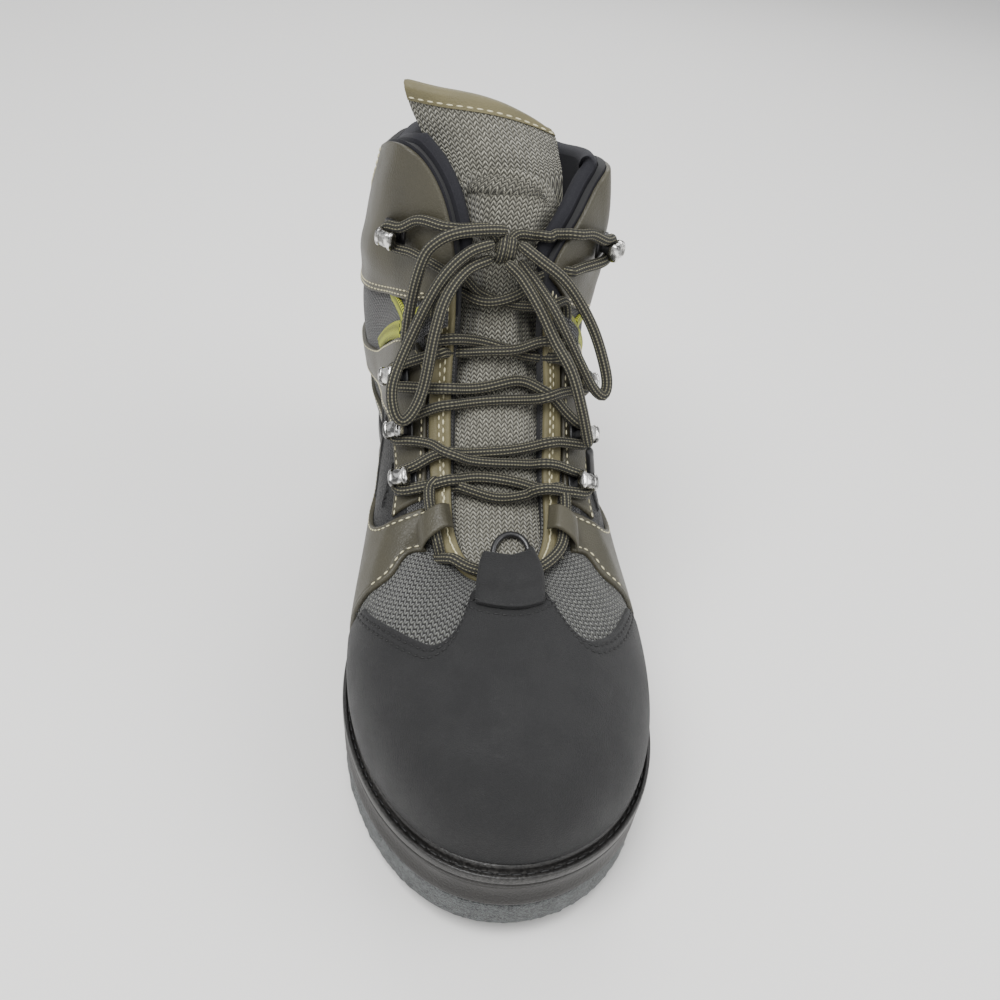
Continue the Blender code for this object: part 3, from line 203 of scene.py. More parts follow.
# Meridians of the upper: 0 at the toe, 1 at the heel, 2 back at the toe by the outer side
UPPER_ROWS = [Row(*row) for row in (
    (0.00, 0.022, 0.293, 0.392, 0.060, 0.150, 0.000, -0.145, 0.010),
    (0.10, -0.045, 0.297, 0.394, 0.070, 0.150, -0.070, -0.140, 0.012),
    (0.20, -0.095, 0.305, 0.400, 0.090, 0.150, -0.150, -0.100, 0.020),
    (0.30, -0.135, 0.338, 0.430, 0.100, 0.150, -0.230, -0.045, 0.035),
    (0.40, -0.140, 0.400, 0.500, 0.065, 0.170, -0.250, -0.010, 0.070),
    (0.50, -0.140, 0.465, 0.640, 0.090, 0.200, -0.270, 0.015, 0.110),
    (0.60, -0.140, 0.515, 0.810, 0.110, 0.240, -0.280, 0.025, 0.150),
    (0.66, -0.188, 0.545, 0.917, 0.130, 0.240, -0.225, 0.018, 0.200),
    (0.70, -0.253, 0.559, 0.970, 0.160, 0.240, -0.185, 0.012, 0.225),
    (0.74, -0.318, 0.580, 0.985, 0.160, 0.240, -0.140, 0.010, 0.240),
    (0.80, -0.350, 0.712, 0.920, 0.160, 0.240, -0.110, 0.006, 0.245),
    (0.90, -0.310, 0.850, 0.870, 0.070, 0.230, -0.050, -0.004, 0.245),
    (0.95, -0.225, 0.930, 0.855, 0.060, 0.225, -0.030, -0.014, 0.240),
    (1.00, 0.000, 0.962, 0.850, 0.050, 0.220, 0.000, -0.022, 0.235),
    (1.05, 0.225, 0.930, 0.855, 0.060, 0.225, 0.030, -0.014, 0.240),
    (1.10, 0.310, 0.850, 0.870, 0.070, 0.230, 0.050, -0.004, 0.245),
    (1.20, 0.350, 0.712, 0.920, 0.110, 0.240, 0.100, 0.006, 0.245),
    (1.26, 0.318, 0.575, 0.968, 0.100, 0.240, 0.100, 0.010, 0.240),
    (1.30, 0.280, 0.555, 0.945, 0.100, 0.240, 0.120, 0.012, 0.225),
    (1.34, 0.232, 0.538, 0.895, 0.085, 0.240, 0.160, 0.018, 0.200),
    (1.40, 0.150, 0.515, 0.810, 0.045, 0.240, 0.225, 0.025, 0.150),
    (1.50, 0.140, 0.465, 0.640, 0.035, 0.200, 0.240, 0.015, 0.110),
    (1.60, 0.140, 0.400, 0.500, 0.035, 0.170, 0.230, -0.010, 0.070),
    (1.70, 0.135, 0.338, 0.430, 0.065, 0.150, 0.220, -0.045, 0.035),
    (1.80, 0.100, 0.305, 0.400, 0.090, 0.150, 0.150, -0.100, 0.020),
    (1.90, 0.065, 0.297, 0.394, 0.070, 0.150, 0.070, -0.140, 0.012),
)]
# Pieces laid on the upper: places are positive on the inner side, negative on the outer side
TOE_CAP = [Band(*row) for row in (
    (0.385, 0.000, 0.330, 0.485), (0.340, 0.000, 0.288, 0.562), (0.300, 0.000, 0.255, 0.610),
    (0.255, 0.000, 0.218, 0.647), (0.205, 0.000, 0.183, 0.680), (0.165, 0.000, 0.158, 0.738),
    (0.130, 0.000, 0.145, 0.802), (0.095, 0.000, 0.142, 0.863), (0.060, 0.000, 0.132, 0.915),
    (0.020, 0.000, 0.050, 0.925), (-0.020, 0.000, -0.060, 0.925), (-0.060, 0.000, -0.148, 0.915),
    (-0.095, 0.000, -0.160, 0.863), (-0.130, 0.000, -0.163, 0.802), (-0.165, 0.000, -0.172, 0.738),
    (-0.205, 0.000, -0.190, 0.685), (-0.255, 0.000, -0.222, 0.640), (-0.300, 0.000, -0.256, 0.600),
    (-0.340, 0.000, -0.290, 0.560), (-0.385, 0.000, -0.325, 0.500),
)]
# These four run from the inner side round to the heel or toe and are mirrored
THROAT_TRIM = [Band(*row) for row in (
    (0.580, 0.905, 0.580, 0.992), (0.500, 0.905, 0.500, 0.992), (0.420, 0.900, 0.420, 0.992),
    (0.350, 0.925, 0.350, 0.992), (0.300, 0.925, 0.300, 0.992), (0.240, 0.940, 0.240, 0.992),
    (0.150, 0.950, 0.150, 0.992), (0.000, 0.950, 0.000, 0.992),
)]
FACING = [Band(*row) for row in (
    (0.392, 0.700, 0.380, 0.880), (0.420, 0.710, 0.415, 0.885), (0.460, 0.705, 0.470, 0.890),
    (0.505, 0.660, 0.530, 0.880), (0.550, 0.540, 0.570, 0.780), (0.610, 0.400, 0.608, 0.600),
    (0.690, 0.300, 0.658, 0.455), (0.790, 0.270, 0.740, 0.375), (0.890, 0.270, 0.860, 0.365),
    (1.000, 0.270, 1.000, 0.365),
)]
CUFF = [Band(*row) for row in (
    (0.592, 0.860, 0.592, 0.992), (0.608, 0.790, 0.612, 0.992), (0.645, 0.690, 0.640, 0.992),
    (0.700, 0.600, 0.680, 0.992), (0.770, 0.570, 0.750, 0.992), (0.870, 0.570, 0.870, 0.992),
    (1.000, 0.570, 1.000, 0.992),
)]
QUARTER = [Band(*row) for row in (
    (0.300, 0.860, 0.368, 0.870), (0.322, 0.770, 0.386, 0.700), (0.318, 0.680, 0.410, 0.570),
    (0.325, 0.600, 0.440, 0.470), (0.340, 0.500, 0.480, 0.390), (0.360, 0.330, 0.530, 0.320),
    (0.382, 0.120, 0.590, 0.260), (0.410, 0.000, 0.660, 0.215), (0.550, 0.000, 0.740, 0.200),
    (0.780, 0.000, 0.850, 0.195), (1.000, 0.000, 1.000, 0.195),
)]
# Free top of the tongue
TONGUE_FLAP = [Flap(*row) for row in (
    (0.875, 0.567, -0.215, 0.200, 0.034, 0.030, 0.005),
    (0.922, 0.582, -0.245, 0.185, 0.036, 0.026, 0.014),
    (0.965, 0.594, -0.290, 0.172, 0.032, 0.020, 0.030),
    (1.000, 0.603, -0.315, 0.158, 0.024, 0.012, 0.052),
)]
# Section of the collar padding up the lining side
PADDING_SIDE = [Fold(*row) for row in (
    (1.00, 1.00), (0.90, 1.00), (0.80, 0.85), (0.70, 0.60), (0.60, 0.30),
)]
# Loops that stand off the upper to let the lace through
KEEPER = [Rise(0.862, 0.54), Rise(0.895, 0.86), Rise(0.925, 1.55), Rise(0.960, 1.85), Rise(1.000, 1.90)]
KEEPER_PLACES = [Spread(*row) for row in (
    (0.118, 0.150), (0.062, 0.080), (-0.004, -0.010), (-0.066, -0.115), (-0.125, -0.230),
)]
LACE_BAND = [Rise(0.840, 0.54), Rise(0.870, 1.45), Rise(0.910, 1.95), Rise(0.955, 2.05), Rise(0.985, 1.15)]
LACE_BAND_PLACES = (0.300, 0.323, 0.345)
WEBBING_LOOP_PLACES = (0.545, 0.5525, 0.560)
# Lace hooks
LACE_HOOKS = [Hook(*row) for row in (
    ("hook_inner_1", 0.410, 0.810), ("hook_inner_2", 0.468, 0.800), ("hook_inner_3", 0.528, 0.780),
    ("hook_inner_4", 0.680, 0.828), ("hook_outer_1", 1.595, 0.830), ("hook_outer_2", 1.535, 0.825),
    ("hook_outer_3", 1.480, 0.820), ("hook_outer_4", 1.318, 0.855),
)]

# The lace seen from the front, from its bands up to the knot; over is used where strands cross
TOE_TO_OUTER_1 = [Pass(-0.14, 0.472, 0.4), Pass(0.00, 0.46), Pass(0.12, 0.47, 0.8), Pass(0.19, 0.478, 0.3)]
TOE_TO_INNER_1 = [Pass(0.15, 0.48), Pass(0.07, 0.48), Pass(-0.07, 0.487), Pass(-0.19, 0.483)]
INNER_1_TO_OUTER_2 = [
    Pass(-0.19, 0.52), Pass(-0.07, 0.52), Pass(0.05, 0.526),
    Pass(0.15, 0.54), Pass(0.19, 0.54),
]
OUTER_1_TO_INNER_2 = [
    Pass(0.19, 0.508), Pass(0.07, 0.506), Pass(-0.06, 0.512, 0.5),
    Pass(-0.16, 0.53, 0.7), Pass(-0.20, 0.532),
]
INNER_2_TO_OUTER_3 = [
    Pass(-0.19, 0.586), Pass(-0.07, 0.592), Pass(0.05, 0.598),
    Pass(0.15, 0.612, 0.7), Pass(0.18, 0.614, 0.3),
]
OUTER_2_TO_INNER_3 = [
    Pass(0.19, 0.598), Pass(0.15, 0.617), Pass(0.07, 0.624),
    Pass(-0.05, 0.613), Pass(-0.20, 0.612),
]
INNER_3_TO_LOOP = [Pass(-0.19, 0.667), Pass(-0.07, 0.665, 0.2), Pass(0.05, 0.675, 0.7), Pass(0.14, 0.696)]
OUTER_3_TO_LOOP = [Pass(0.19, 0.663), Pass(0.07, 0.663), Pass(-0.05, 0.68), Pass(-0.15, 0.696)]
LOOP_TO_OUTER_4 = [
    Pass(-0.14, 0.757, 0.5), Pass(-0.05, 0.746, 0.5), Pass(0.05, 0.76, 0.5),
    Pass(0.15, 0.793), Pass(0.24, 0.804),
]
LOOP_TO_INNER_4 = [
    Pass(0.145, 0.757, 0.5), Pass(0.04, 0.741), Pass(-0.06, 0.755),
    Pass(-0.15, 0.793), Pass(-0.26, 0.807),
]
INNER_4_TO_KNOT = [Pass(-0.26, 0.868), Pass(-0.18, 0.868), Pass(-0.10, 0.861, 0.2), Pass(-0.04, 0.864, 0.4)]
OUTER_4_TO_KNOT = [Pass(0.26, 0.868), Pass(0.18, 0.855), Pass(0.10, 0.852, 0.2), Pass(0.04, 0.859, 0.4)]
# The bow, and the lace under its bands and the keeper tab
LOOP_INNER = [Spot(*row) for row in (
    (-0.04, 0.499, 0.859), (-0.12, 0.492, 0.843), (-0.20, 0.478, 0.800), (-0.28, 0.462, 0.710),
    (-0.335, 0.436, 0.640), (-0.332, 0.423, 0.596), (-0.304, 0.420, 0.576), (-0.268, 0.426, 0.593),
    (-0.238, 0.438, 0.635), (-0.212, 0.452, 0.725), (-0.18, 0.468, 0.780), (-0.12, 0.488, 0.815),
    (-0.04, 0.502, 0.830),
)]
END_INNER = [Spot(*row) for row in (
    (0.00, 0.510, 0.877), (-0.06, 0.506, 0.878), (-0.15, 0.500, 0.874), (-0.21, 0.497, 0.859),
    (-0.25, 0.495, 0.831), (-0.28, 0.492, 0.760), (-0.297, 0.485, 0.668),
)]
LOOP_OUTER = [Spot(*row) for row in (
    (0.04, 0.501, 0.859), (0.10, 0.490, 0.840), (0.18, 0.484, 0.810), (0.25, 0.481, 0.762),
    (0.31, 0.476, 0.705), (0.352, 0.460, 0.640), (0.343, 0.449, 0.614), (0.305, 0.446, 0.629),
    (0.25, 0.446, 0.678), (0.16, 0.458, 0.762), (0.11, 0.483, 0.793), (0.05, 0.505, 0.826),
)]
END_OUTER = [Spot(*row) for row in (
    (0.00, 0.489, 0.833), (0.05, 0.484, 0.808), (0.11, 0.464, 0.765), (0.16, 0.446, 0.719),
    (0.21, 0.425, 0.680), (0.25, 0.413, 0.622), (0.295, 0.410, 0.542),
)]
AGLET_OUTER = [Spot(0.297, 0.410, 0.537), Spot(0.311, 0.412, 0.501), Spot(0.321, 0.410, 0.471)]
LACE_FOOT = [Corner(*row) for row in (
    (0.385, 0.910), (0.300, 0.912), (0.250, 0.930), (0.180, 0.955), (0.090, 0.963), (0.000, 0.963),
)]
RING_SPOTS = [Spot(0.036, 0.312, 0.396), Spot(0.042, 0.346, 0.425)]


class Crease(NamedTuple):
    """Soft fold of the upper between two of its points, with its height, negative for a trough."""

    start: Corner
    end: Corner
    height: float
    width: float


# Creases placed one by one: across the flex behind the cap, over the ankle and along the cuff
CREASES = [
    Crease(Corner(0.30, 0.62), Corner(0.37, 0.95), -0.0009, 0.006),
    Crease(Corner(0.34, 0.55), Corner(0.41, 0.85), 0.0007, 0.007),
    Crease(Corner(1.70, 0.62), Corner(1.63, 0.95), -0.0009, 0.006),
    Crease(Corner(1.66, 0.55), Corner(1.59, 0.85), 0.0007, 0.007),
    Crease(Corner(0.45, 0.30), Corner(0.60, 0.52), -0.0008, 0.009),
    Crease(Corner(0.52, 0.22), Corner(0.72, 0.42), 0.0006, 0.010),
    Crease(Corner(0.60, 0.66), Corner(0.86, 0.60), -0.0012, 0.009),
    Crease(Corner(0.62, 0.80), Corner(0.80, 0.76), -0.0010, 0.008),
    Crease(Corner(0.64, 0.73), Corner(0.84, 0.69), 0.0009, 0.009),
    Crease(Corner(1.40, 0.66), Corner(1.14, 0.60), -0.0012, 0.009),
    Crease(Corner(1.38, 0.80), Corner(1.20, 0.76), -0.0010, 0.008),
    Crease(Corner(1.36, 0.73), Corner(1.16, 0.69), 0.0009, 0.009),
    Crease(Corner(1.55, 0.30), Corner(1.40, 0.52), -0.0008, 0.009),
    Crease(Corner(0.88, 0.50), Corner(1.12, 0.48), -0.0010, 0.010),
    Crease(Corner(0.90, 0.76), Corner(1.10, 0.74), -0.0009, 0.009),
]
PLACE_SPAN = 0.30
SHARE_SPAN = 0.14


def periodic_spline(knots: Sequence[float], values: Array, period: float, at: Array) -> Array:
    """Cubic through values at knots, smooth across the end of each period.

    Args:
        knots: Rising positions of the values.
        values: One value or row of values for each knot.
        period: Length after which the curve repeats.
        at: Positions to read.

    Returns:
        The curve's values at those positions.
    """
    knots, values = np.asarray(knots, float), np.asarray(values, float)
    count = len(knots)
    gaps = np.diff(np.append(knots, knots[0] + period))
    system = np.zeros((count, count))
    right = np.zeros(values.shape)
    for i in range(count):
        before, after = gaps[i - 1], gaps[i]
        system[i, i - 1] += before
        system[i, i] += 2 * (before + after)
        system[i, (i + 1) % count] += after
        rise = (values[(i + 1) % count] - values[i]) / after
        right[i] = 6 * (rise - (values[i] - values[i - 1]) / before)
    bend = np.linalg.solve(system, right)
    at = np.mod(np.asarray(at, float) - knots[0], period) + knots[0]
    cell = np.clip(np.searchsorted(knots, at, side="right") - 1, 0, count - 1)
    following = (cell + 1) % count
    gap = gaps[cell]
    b = (at - knots[cell]) / gap
    a = 1 - b
    if values.ndim > 1:
        a, b, gap = a[..., None], b[..., None], gap[..., None]
    curve = ((a**3 - a) * bend[cell] + (b**3 - b) * bend[following]) * gap**2 / 6
    return a * values[cell] + b * values[following] + curve


def smooth_rows(rows: Array, count: int) -> Array:
    """Rows of a table or grid read at even steps on a smooth curve.

    Args:
        rows: Table with a row for each knot; a row may hold more axes.
        count: Number of rows wanted.

    Returns:
        The denser table.
    """
    rows = np.asarray(rows, float)
    padded = np.concatenate([2 * rows[:1] - rows[1:2], rows, 2 * rows[-1:] - rows[-2:-1]])
    at = np.linspace(0, len(rows) - 1, count)
    cell = np.minimum(at.astype(int), len(rows) - 2)
    t = (at - cell).reshape((-1,) + (1,) * (rows.ndim - 1))
    a, b, c, d = (padded[cell + i] for i in range(4))
    return b + 0.5 * t * (c - a + t * (2 * a - 5 * b + 4 * c - d + t * (3 * (b - c) + d - a)))


def run_along(points: Array) -> Array:
    """Distance from a line's first point to each of its points."""
    return np.concatenate([[0], np.cumsum(np.linalg.norm(np.diff(points, axis=0), axis=1))])


def even_rows(rows: Array, gap: float) -> Array:
    """Points every gap along a smooth curve through rows.

    Args:
        rows: Points of a route.
        gap: Distance wanted between points.

    Returns:
        Evenly spaced points, both ends included.
    """
    fine = smooth_rows(rows, 24 * len(rows))
    run = run_along(fine)
    at = np.linspace(0, run[-1], max(3, math.ceil(run[-1] / gap) + 1))
    return np.column_stack([np.interp(at, run, fine[:, axis]) for axis in range(fine.shape[1])])


def ease(value: Array) -> Array:
    """Smooth step from 0 to 1."""
    value = np.clip(value, 0, 1)
    return value * value * (3 - 2 * value)


def dome(value: Array) -> Array:
    """Quarter-round rise from 0 to 1."""
    return np.sqrt(1 - (1 - np.clip(value, 0, 1)) ** 2)


def unit(vectors: Array) -> Array:
    """Vectors at length one."""
    return vectors / np.maximum(np.linalg.norm(vectors, axis=-1, keepdims=True), 1e-12)


class Footprint:
    """An inset of the sole's outline, read by place or by distance along the foot."""

    def __init__(self, outline: Array, inset: float) -> None:
        """Move the outline inwards.

        Args:
            outline: Dense points of the sole's outline.
            inset: Distance moved inwards.
        """
        ahead = unit(np.roll(outline, -3, axis=0) - np.roll(outline, 3, axis=0))
        inward = np.stack([-ahead[:, 1], ahead[:, 0]], axis=1)
        if np.sum(inward * (outline.mean(axis=0) - outline)) < 0:
            inward = -inward
        loop = outline + inward * inset
        toe, heel = loop[:, 1].argmin(), loop[:, 1].argmax()
        loop = np.roll(loop, -toe, axis=0)
        heel = (heel - toe) % len(loop)
        self.inner = loop[: heel + 1]
        self.outer = np.concatenate([loop[heel:], loop[:1]])[::-1]
        self.toe_y, self.heel_y = loop[0, 1], loop[heel, 1]

    def sides(self, y: Array) -> tuple[Array, Array]:
        """X of the inner and the outer side at y."""
        inner = np.interp(y, self.inner[:, 1], self.inner[:, 0])
        return inner, np.interp(y, self.outer[:, 1], self.outer[:, 0])

    def at(self, place: Array) -> Array:
        """Point of the outline at each place."""
        place = np.mod(np.asarray(place, float), 2.0)
        y = self.toe_y + (1 - np.cos(np.pi * place)) / 2 * (self.heel_y - self.toe_y)
        inner, outer = self.sides(y)
        return np.stack([np.where(place <= 1, inner, outer), y], axis=-1)


class LastShape:
    """The boot's own surfaces: the outline of its sole and the outer face of its upper."""

    def __init__(self, sizes: BootSizes) -> None:
        """Work out the outlines.

        Args:
            sizes: Driving sizes of the boot.
        """
        self.sizes = sizes
        points = np.array([(row.out, row.along) for row in SOLE_PLAN]) * (sizes.ball_width, sizes.sole_length)
        steps = np.linalg.norm(np.roll(points, -1, axis=0) - points, axis=1)
        knots = np.concatenate([[0.0], np.cumsum(steps)[:-1]])
        at = np.linspace(0, steps.sum(), 1440, endpoint=False)
        self.outline = periodic_spline(knots, points, steps.sum(), at)
        self.outline[:, 1] += sizes.toe_y
        self.feather = self.footprint(sizes.welt_margin)

    def footprint(self, inset: float) -> Footprint:
        """The sole's outline moved inwards by inset."""
        return Footprint(self.outline, inset)

    def along(self, y: Array) -> Array:
        """Share of the sole's length from the toe."""
        return (np.asarray(y, float) - self.sizes.toe_y) / self.sizes.sole_length

    def toe_lift(self, y: Array) -> Array:
        """How far the toe spring raises the sole at y."""
        return self.sizes.toe_spring * np.clip(1 - self.along(y) / 0.30, 0, 1) ** 1.8

    def seat(self, y: Array) -> Array:
        """Height of the midsole's top."""
        heel = ease((self.along(y) - 0.36) / 0.34)
        base = self.sizes.felt_thick + self.sizes.midsole_thick
        return base + self.sizes.heel_lift * heel + self.toe_lift(y)

    def arch(self, y: Array) -> Array:
        """How far the midsole's underside rises between forefoot and heel."""
        span = self.sizes.heel_start - self.sizes.forefoot_end
        share = (self.along(y) - self.sizes.forefoot_end) / span
        return self.sizes.arch_rise * np.sin(np.pi * np.clip(share, 0, 1)) ** 2

    def meridian(self, place: Array, share: Array) -> Array:
        """Point of the upper's plain face: share runs from the feather line (0) to the edge (1)."""
        sizes = self.sizes
        place, share = np.broadcast_arrays(np.asarray(place, float), np.asarray(share, float))
        row = periodic_spline([r.place for r in UPPER_ROWS], [r[1:] for r in UPPER_ROWS], 2.0, place)
        foot = self.feather.at(place)
        ahead = unit(self.feather.at(place + 0.01) - self.feather.at(place - 0.01))
        outward = np.stack([-ahead[..., 1], ahead[..., 0]], axis=-1)
        p0 = np.concatenate([foot, (self.seat(foot[..., 1]) + sizes.clear)[..., None]], axis=-1)
        p1 = p0.copy()
        p1[..., :2] += outward * (row[..., 3] * sizes.ball_width)[..., None]
        p1[..., 2] += row[..., 4] * sizes.collar_height
        edge_y = sizes.toe_y + row[..., 1] * sizes.sole_length
        p3 = np.stack([row[..., 0] * sizes.ball_width, edge_y, row[..., 2] * sizes.collar_height], axis=-1)
        crown = [row[..., 5] * sizes.ball_width, row[..., 6] * sizes.sole_length]
        p2 = p3 + np.stack(crown + [-row[..., 7] * sizes.collar_height], axis=-1)
        t = share[..., None]
        s = 1 - t
        return s**3 * p0 + 3 * s**2 * t * p1 + 3 * s * t**2 * p2 + t**3 * p3

    def relief(self, place: Array, share: Array) -> Array:
        """Height of the listed creases at each point."""
        place = np.mod(place, 2.0)
        total = np.zeros(np.shape(place))
        for crease in CREASES:
            start = np.array(crease.start) * (PLACE_SPAN, SHARE_SPAN)
            way = np.array(crease.end) * (PLACE_SPAN, SHARE_SPAN) - start
            x, y = place * PLACE_SPAN - start[0], share * SHARE_SPAN - start[1]
            along = np.clip((x * way[0] + y * way[1]) / (way @ way), 0, 1)
            away = np.hypot(x - along * way[0], y - along * way[1]) / crease.width
            total = total + crease.height * np.exp(-(away**2)) * np.sin(np.pi * (0.1 + 0.8 * along))
        return total

    def skin(self, place: Array, share: Array, out: Array = 0.0) -> Array:
        """The upper's outer face with its creases, moved outwards by out."""
        place, share = np.broadcast_arrays(np.asarray(place, float), np.asarray(share, float))
        point, normal = self.plain(place, share)
        height = np.asarray(out, float) + self.relief(place, share) * np.clip((1 - share) * 12, 0, 1)
        return point + normal * height[..., None]

    def plain(self, place: Array, share: Array) -> tuple[Array, Array]:
        """Points and normals of the upper's face without creases."""
        step = 0.012
        point = self.meridian(place, share)
        across = self.meridian(place + step, share) - self.meridian(place - step, share)
        upward = self.meridian(place, np.minimum(share + step, 1))
        upward = upward - self.meridian(place, np.maximum(share - step, 0))
        return point, unit(np.cross(upward, across))

    def beyond_edge(self, place: Array, height: Array, out: Array) -> Array:
        """Point past the collar and throat edge, in line with the wall, moved outwards by out."""
        rim = self.skin(place, 1.0, out)
        way = unit(rim - self.skin(place, 0.9, out))
        return rim + way * np.asarray(height, float)[..., None]

    def share_at_height(self, place: Array, height: float) -> Array:
        """Share at which the face stands height above the feather line."""
        place = np.asarray(place, float)
        low, high = np.zeros(place.shape), np.full(place.shape, 0.5)
        base = self.meridian(place, low)[..., 2]
        for _ in range(24):
            middle = (low + high) / 2
            above = self.meridian(place, middle)[..., 2] - base > height
            high = np.where(above, middle, high)
            low = np.where(above, low, middle)
        return (low + high) / 2

    def spots(self, rows: Sequence[Spot]) -> Array:
        """Points of a table of spots."""
        table = np.array(rows)
        sizes = self.sizes
        y = sizes.toe_y + table[:, 1] * sizes.sole_length
        return np.column_stack([table[:, 0] * sizes.ball_width, y, table[:, 2] * sizes.collar_height])


LAST = LastShape(SIZES)


def grid_faces(rows: int, columns: int, start: int = 0, ring: bool = False, tube: bool = False) -> list:
    """Quads of a grid of points.

    Args:
        rows: Number of rows.
        columns: Number of points in a row.
        start: Index of the first point.
        ring: Whether the last row joins the first.
        tube: Whether each row's last point joins its first.

    Returns:
        Faces as tuples of indices.
    """
    faces = []
    for i in range(rows if ring else rows - 1):
        a, b = start + i * columns, start + (i + 1) % rows * columns
        for j in range(columns if tube else columns - 1):
            k = (j + 1) % columns
            faces.append((a + j, b + j, b + k, a + k))
    return faces


def put_in(name: str, data: bpy.types.ID) -> Object:
    """A new object in the scene."""
    made = bpy.data.objects.new(name, data)
    bpy.context.scene.collection.objects.link(made)
    return made


@dataclass
class Piece:
    """A shown piece: its mesh, finish, slot and the solids that it stands for."""

    name: str
    slot: str
    stands_for: tuple[str, ...] = ()
    points: list = field(default_factory=list)
    faces: list = field(default_factory=list)
    uvs: list = field(default_factory=list)

    def add(self, points: Array, faces: Sequence, uvs: Array | None = None) -> None:
        """Add a lump of points and faces.

        Args:
            points: Points of the lump.
            faces: Faces that count from the lump's first point.
            uvs: Place of each point on its own cloth, in metres.
        """
        base = sum(len(lump) for lump in self.points)
        points = np.asarray(points, float).reshape(-1, 3)
        self.points.append(points)
        self.faces.extend(tuple(base + i for i in face) for face in faces)
        uvs = np.zeros((len(points), 2)) if uvs is None else np.asarray(uvs, float)
        self.uvs.append(uvs.reshape(-1, 2))

    def add_wall(self, inner: Array, outer: Array, uvs: Array, ring: bool = False) -> None:
        """Add a closed wall between two grids of the same layout.

        Args:
            inner: Grid of the inner face.
            outer: Grid of the outer face.
            uvs: Grid of places on the cloth.
            ring: Whether the grids run round in a ring.
        """
        rows, columns = outer.shape[:2]
        count = rows * columns
        faces = grid_faces(rows, columns, 0, ring)
        faces += [face[::-1] for face in grid_faces(rows, columns, count, ring)]
        for i in range(rows if ring else rows - 1):
            after = (i + 1) % rows
            for j in (0, columns - 1):
                a, b = i * columns + j, after * columns + j
                faces.append((a, b, b + count, a + count))
        if not ring:
            for i in (0, rows - 1):
                for j in range(columns - 1):
                    a = i * columns + j
                    faces.append((a, a + 1, a + 1 + count, a + count))
        both = np.concatenate([uvs.reshape(-1, 2), uvs.reshape(-1, 2)])
        self.add(np.concatenate([outer.reshape(-1, 3), inner.reshape(-1, 3)]), faces, both)

    def add_loft(self, loops: Array, uvs: Array | None = None, capped: bool = True) -> None:
        """Add a solid through closed loops.

        Args:
            loops: Grid of loops by points.
            uvs: Grid of places on the cloth.
            capped: Whether the ends are closed; if not, the loops run in a ring.
        """
        count, points = loops.shape[:2]
        faces = grid_faces(count, points, 0, ring=not capped, tube=True)
        if capped:
            faces.append(tuple(range(points)))
            faces.append(tuple(range((count - 1) * points, count * points)))
        self.add(loops, faces, uvs)

    def finish(self, paint: Material, sharp: float = 60.0) -> Object:
        """Make the object, with its faces outwards.

        Args:
            paint: Material of the piece.
            sharp: Angle in degrees past which an edge shows.

        Returns:
            The finished object, riding on the boot.
        """
        mesh = bpy.data.meshes.new(self.name)
        mesh.from_pydata(np.concatenate(self.points).tolist(), [], self.faces)
        layer = mesh.uv_layers.new(name="cloth")
        corner = np.zeros(len(mesh.loops), np.int32)
        mesh.loops.foreach_get("vertex_index", corner)
        layer.data.foreach_set("uv", np.concatenate(self.uvs)[corner].astype(np.float32).ravel())
        shape = bmesh.new()
        shape.from_mesh(mesh)
        bmesh.ops.remove_doubles(shape, verts=shape.verts, dist=1e-7)
        bmesh.ops.recalc_face_normals(shape, faces=shape.faces)
        shape.to_mesh(mesh)
        shape.free()
        mesh.polygons.foreach_set("use_smooth", np.ones(len(mesh.polygons), bool))
        mesh.set_sharp_from_angle(angle=math.radians(sharp))
        mesh.materials.append(paint)
        return settle(put_in(self.name, mesh), self.stands_for)


def settle(made: Object, stands_for: Sequence[str] = ()) -> Object:
    """Hang a finished object on the boot and report it.

    Args:
        made: The object, in place.
        stands_for: The solids that it stands for.

    Returns:
        The same object.
    """
    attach(made, "root")
    if stands_for:
        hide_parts(*stands_for)
    LOG.info("%s: %d faces", made.name, len(made.data.polygons))
    return made


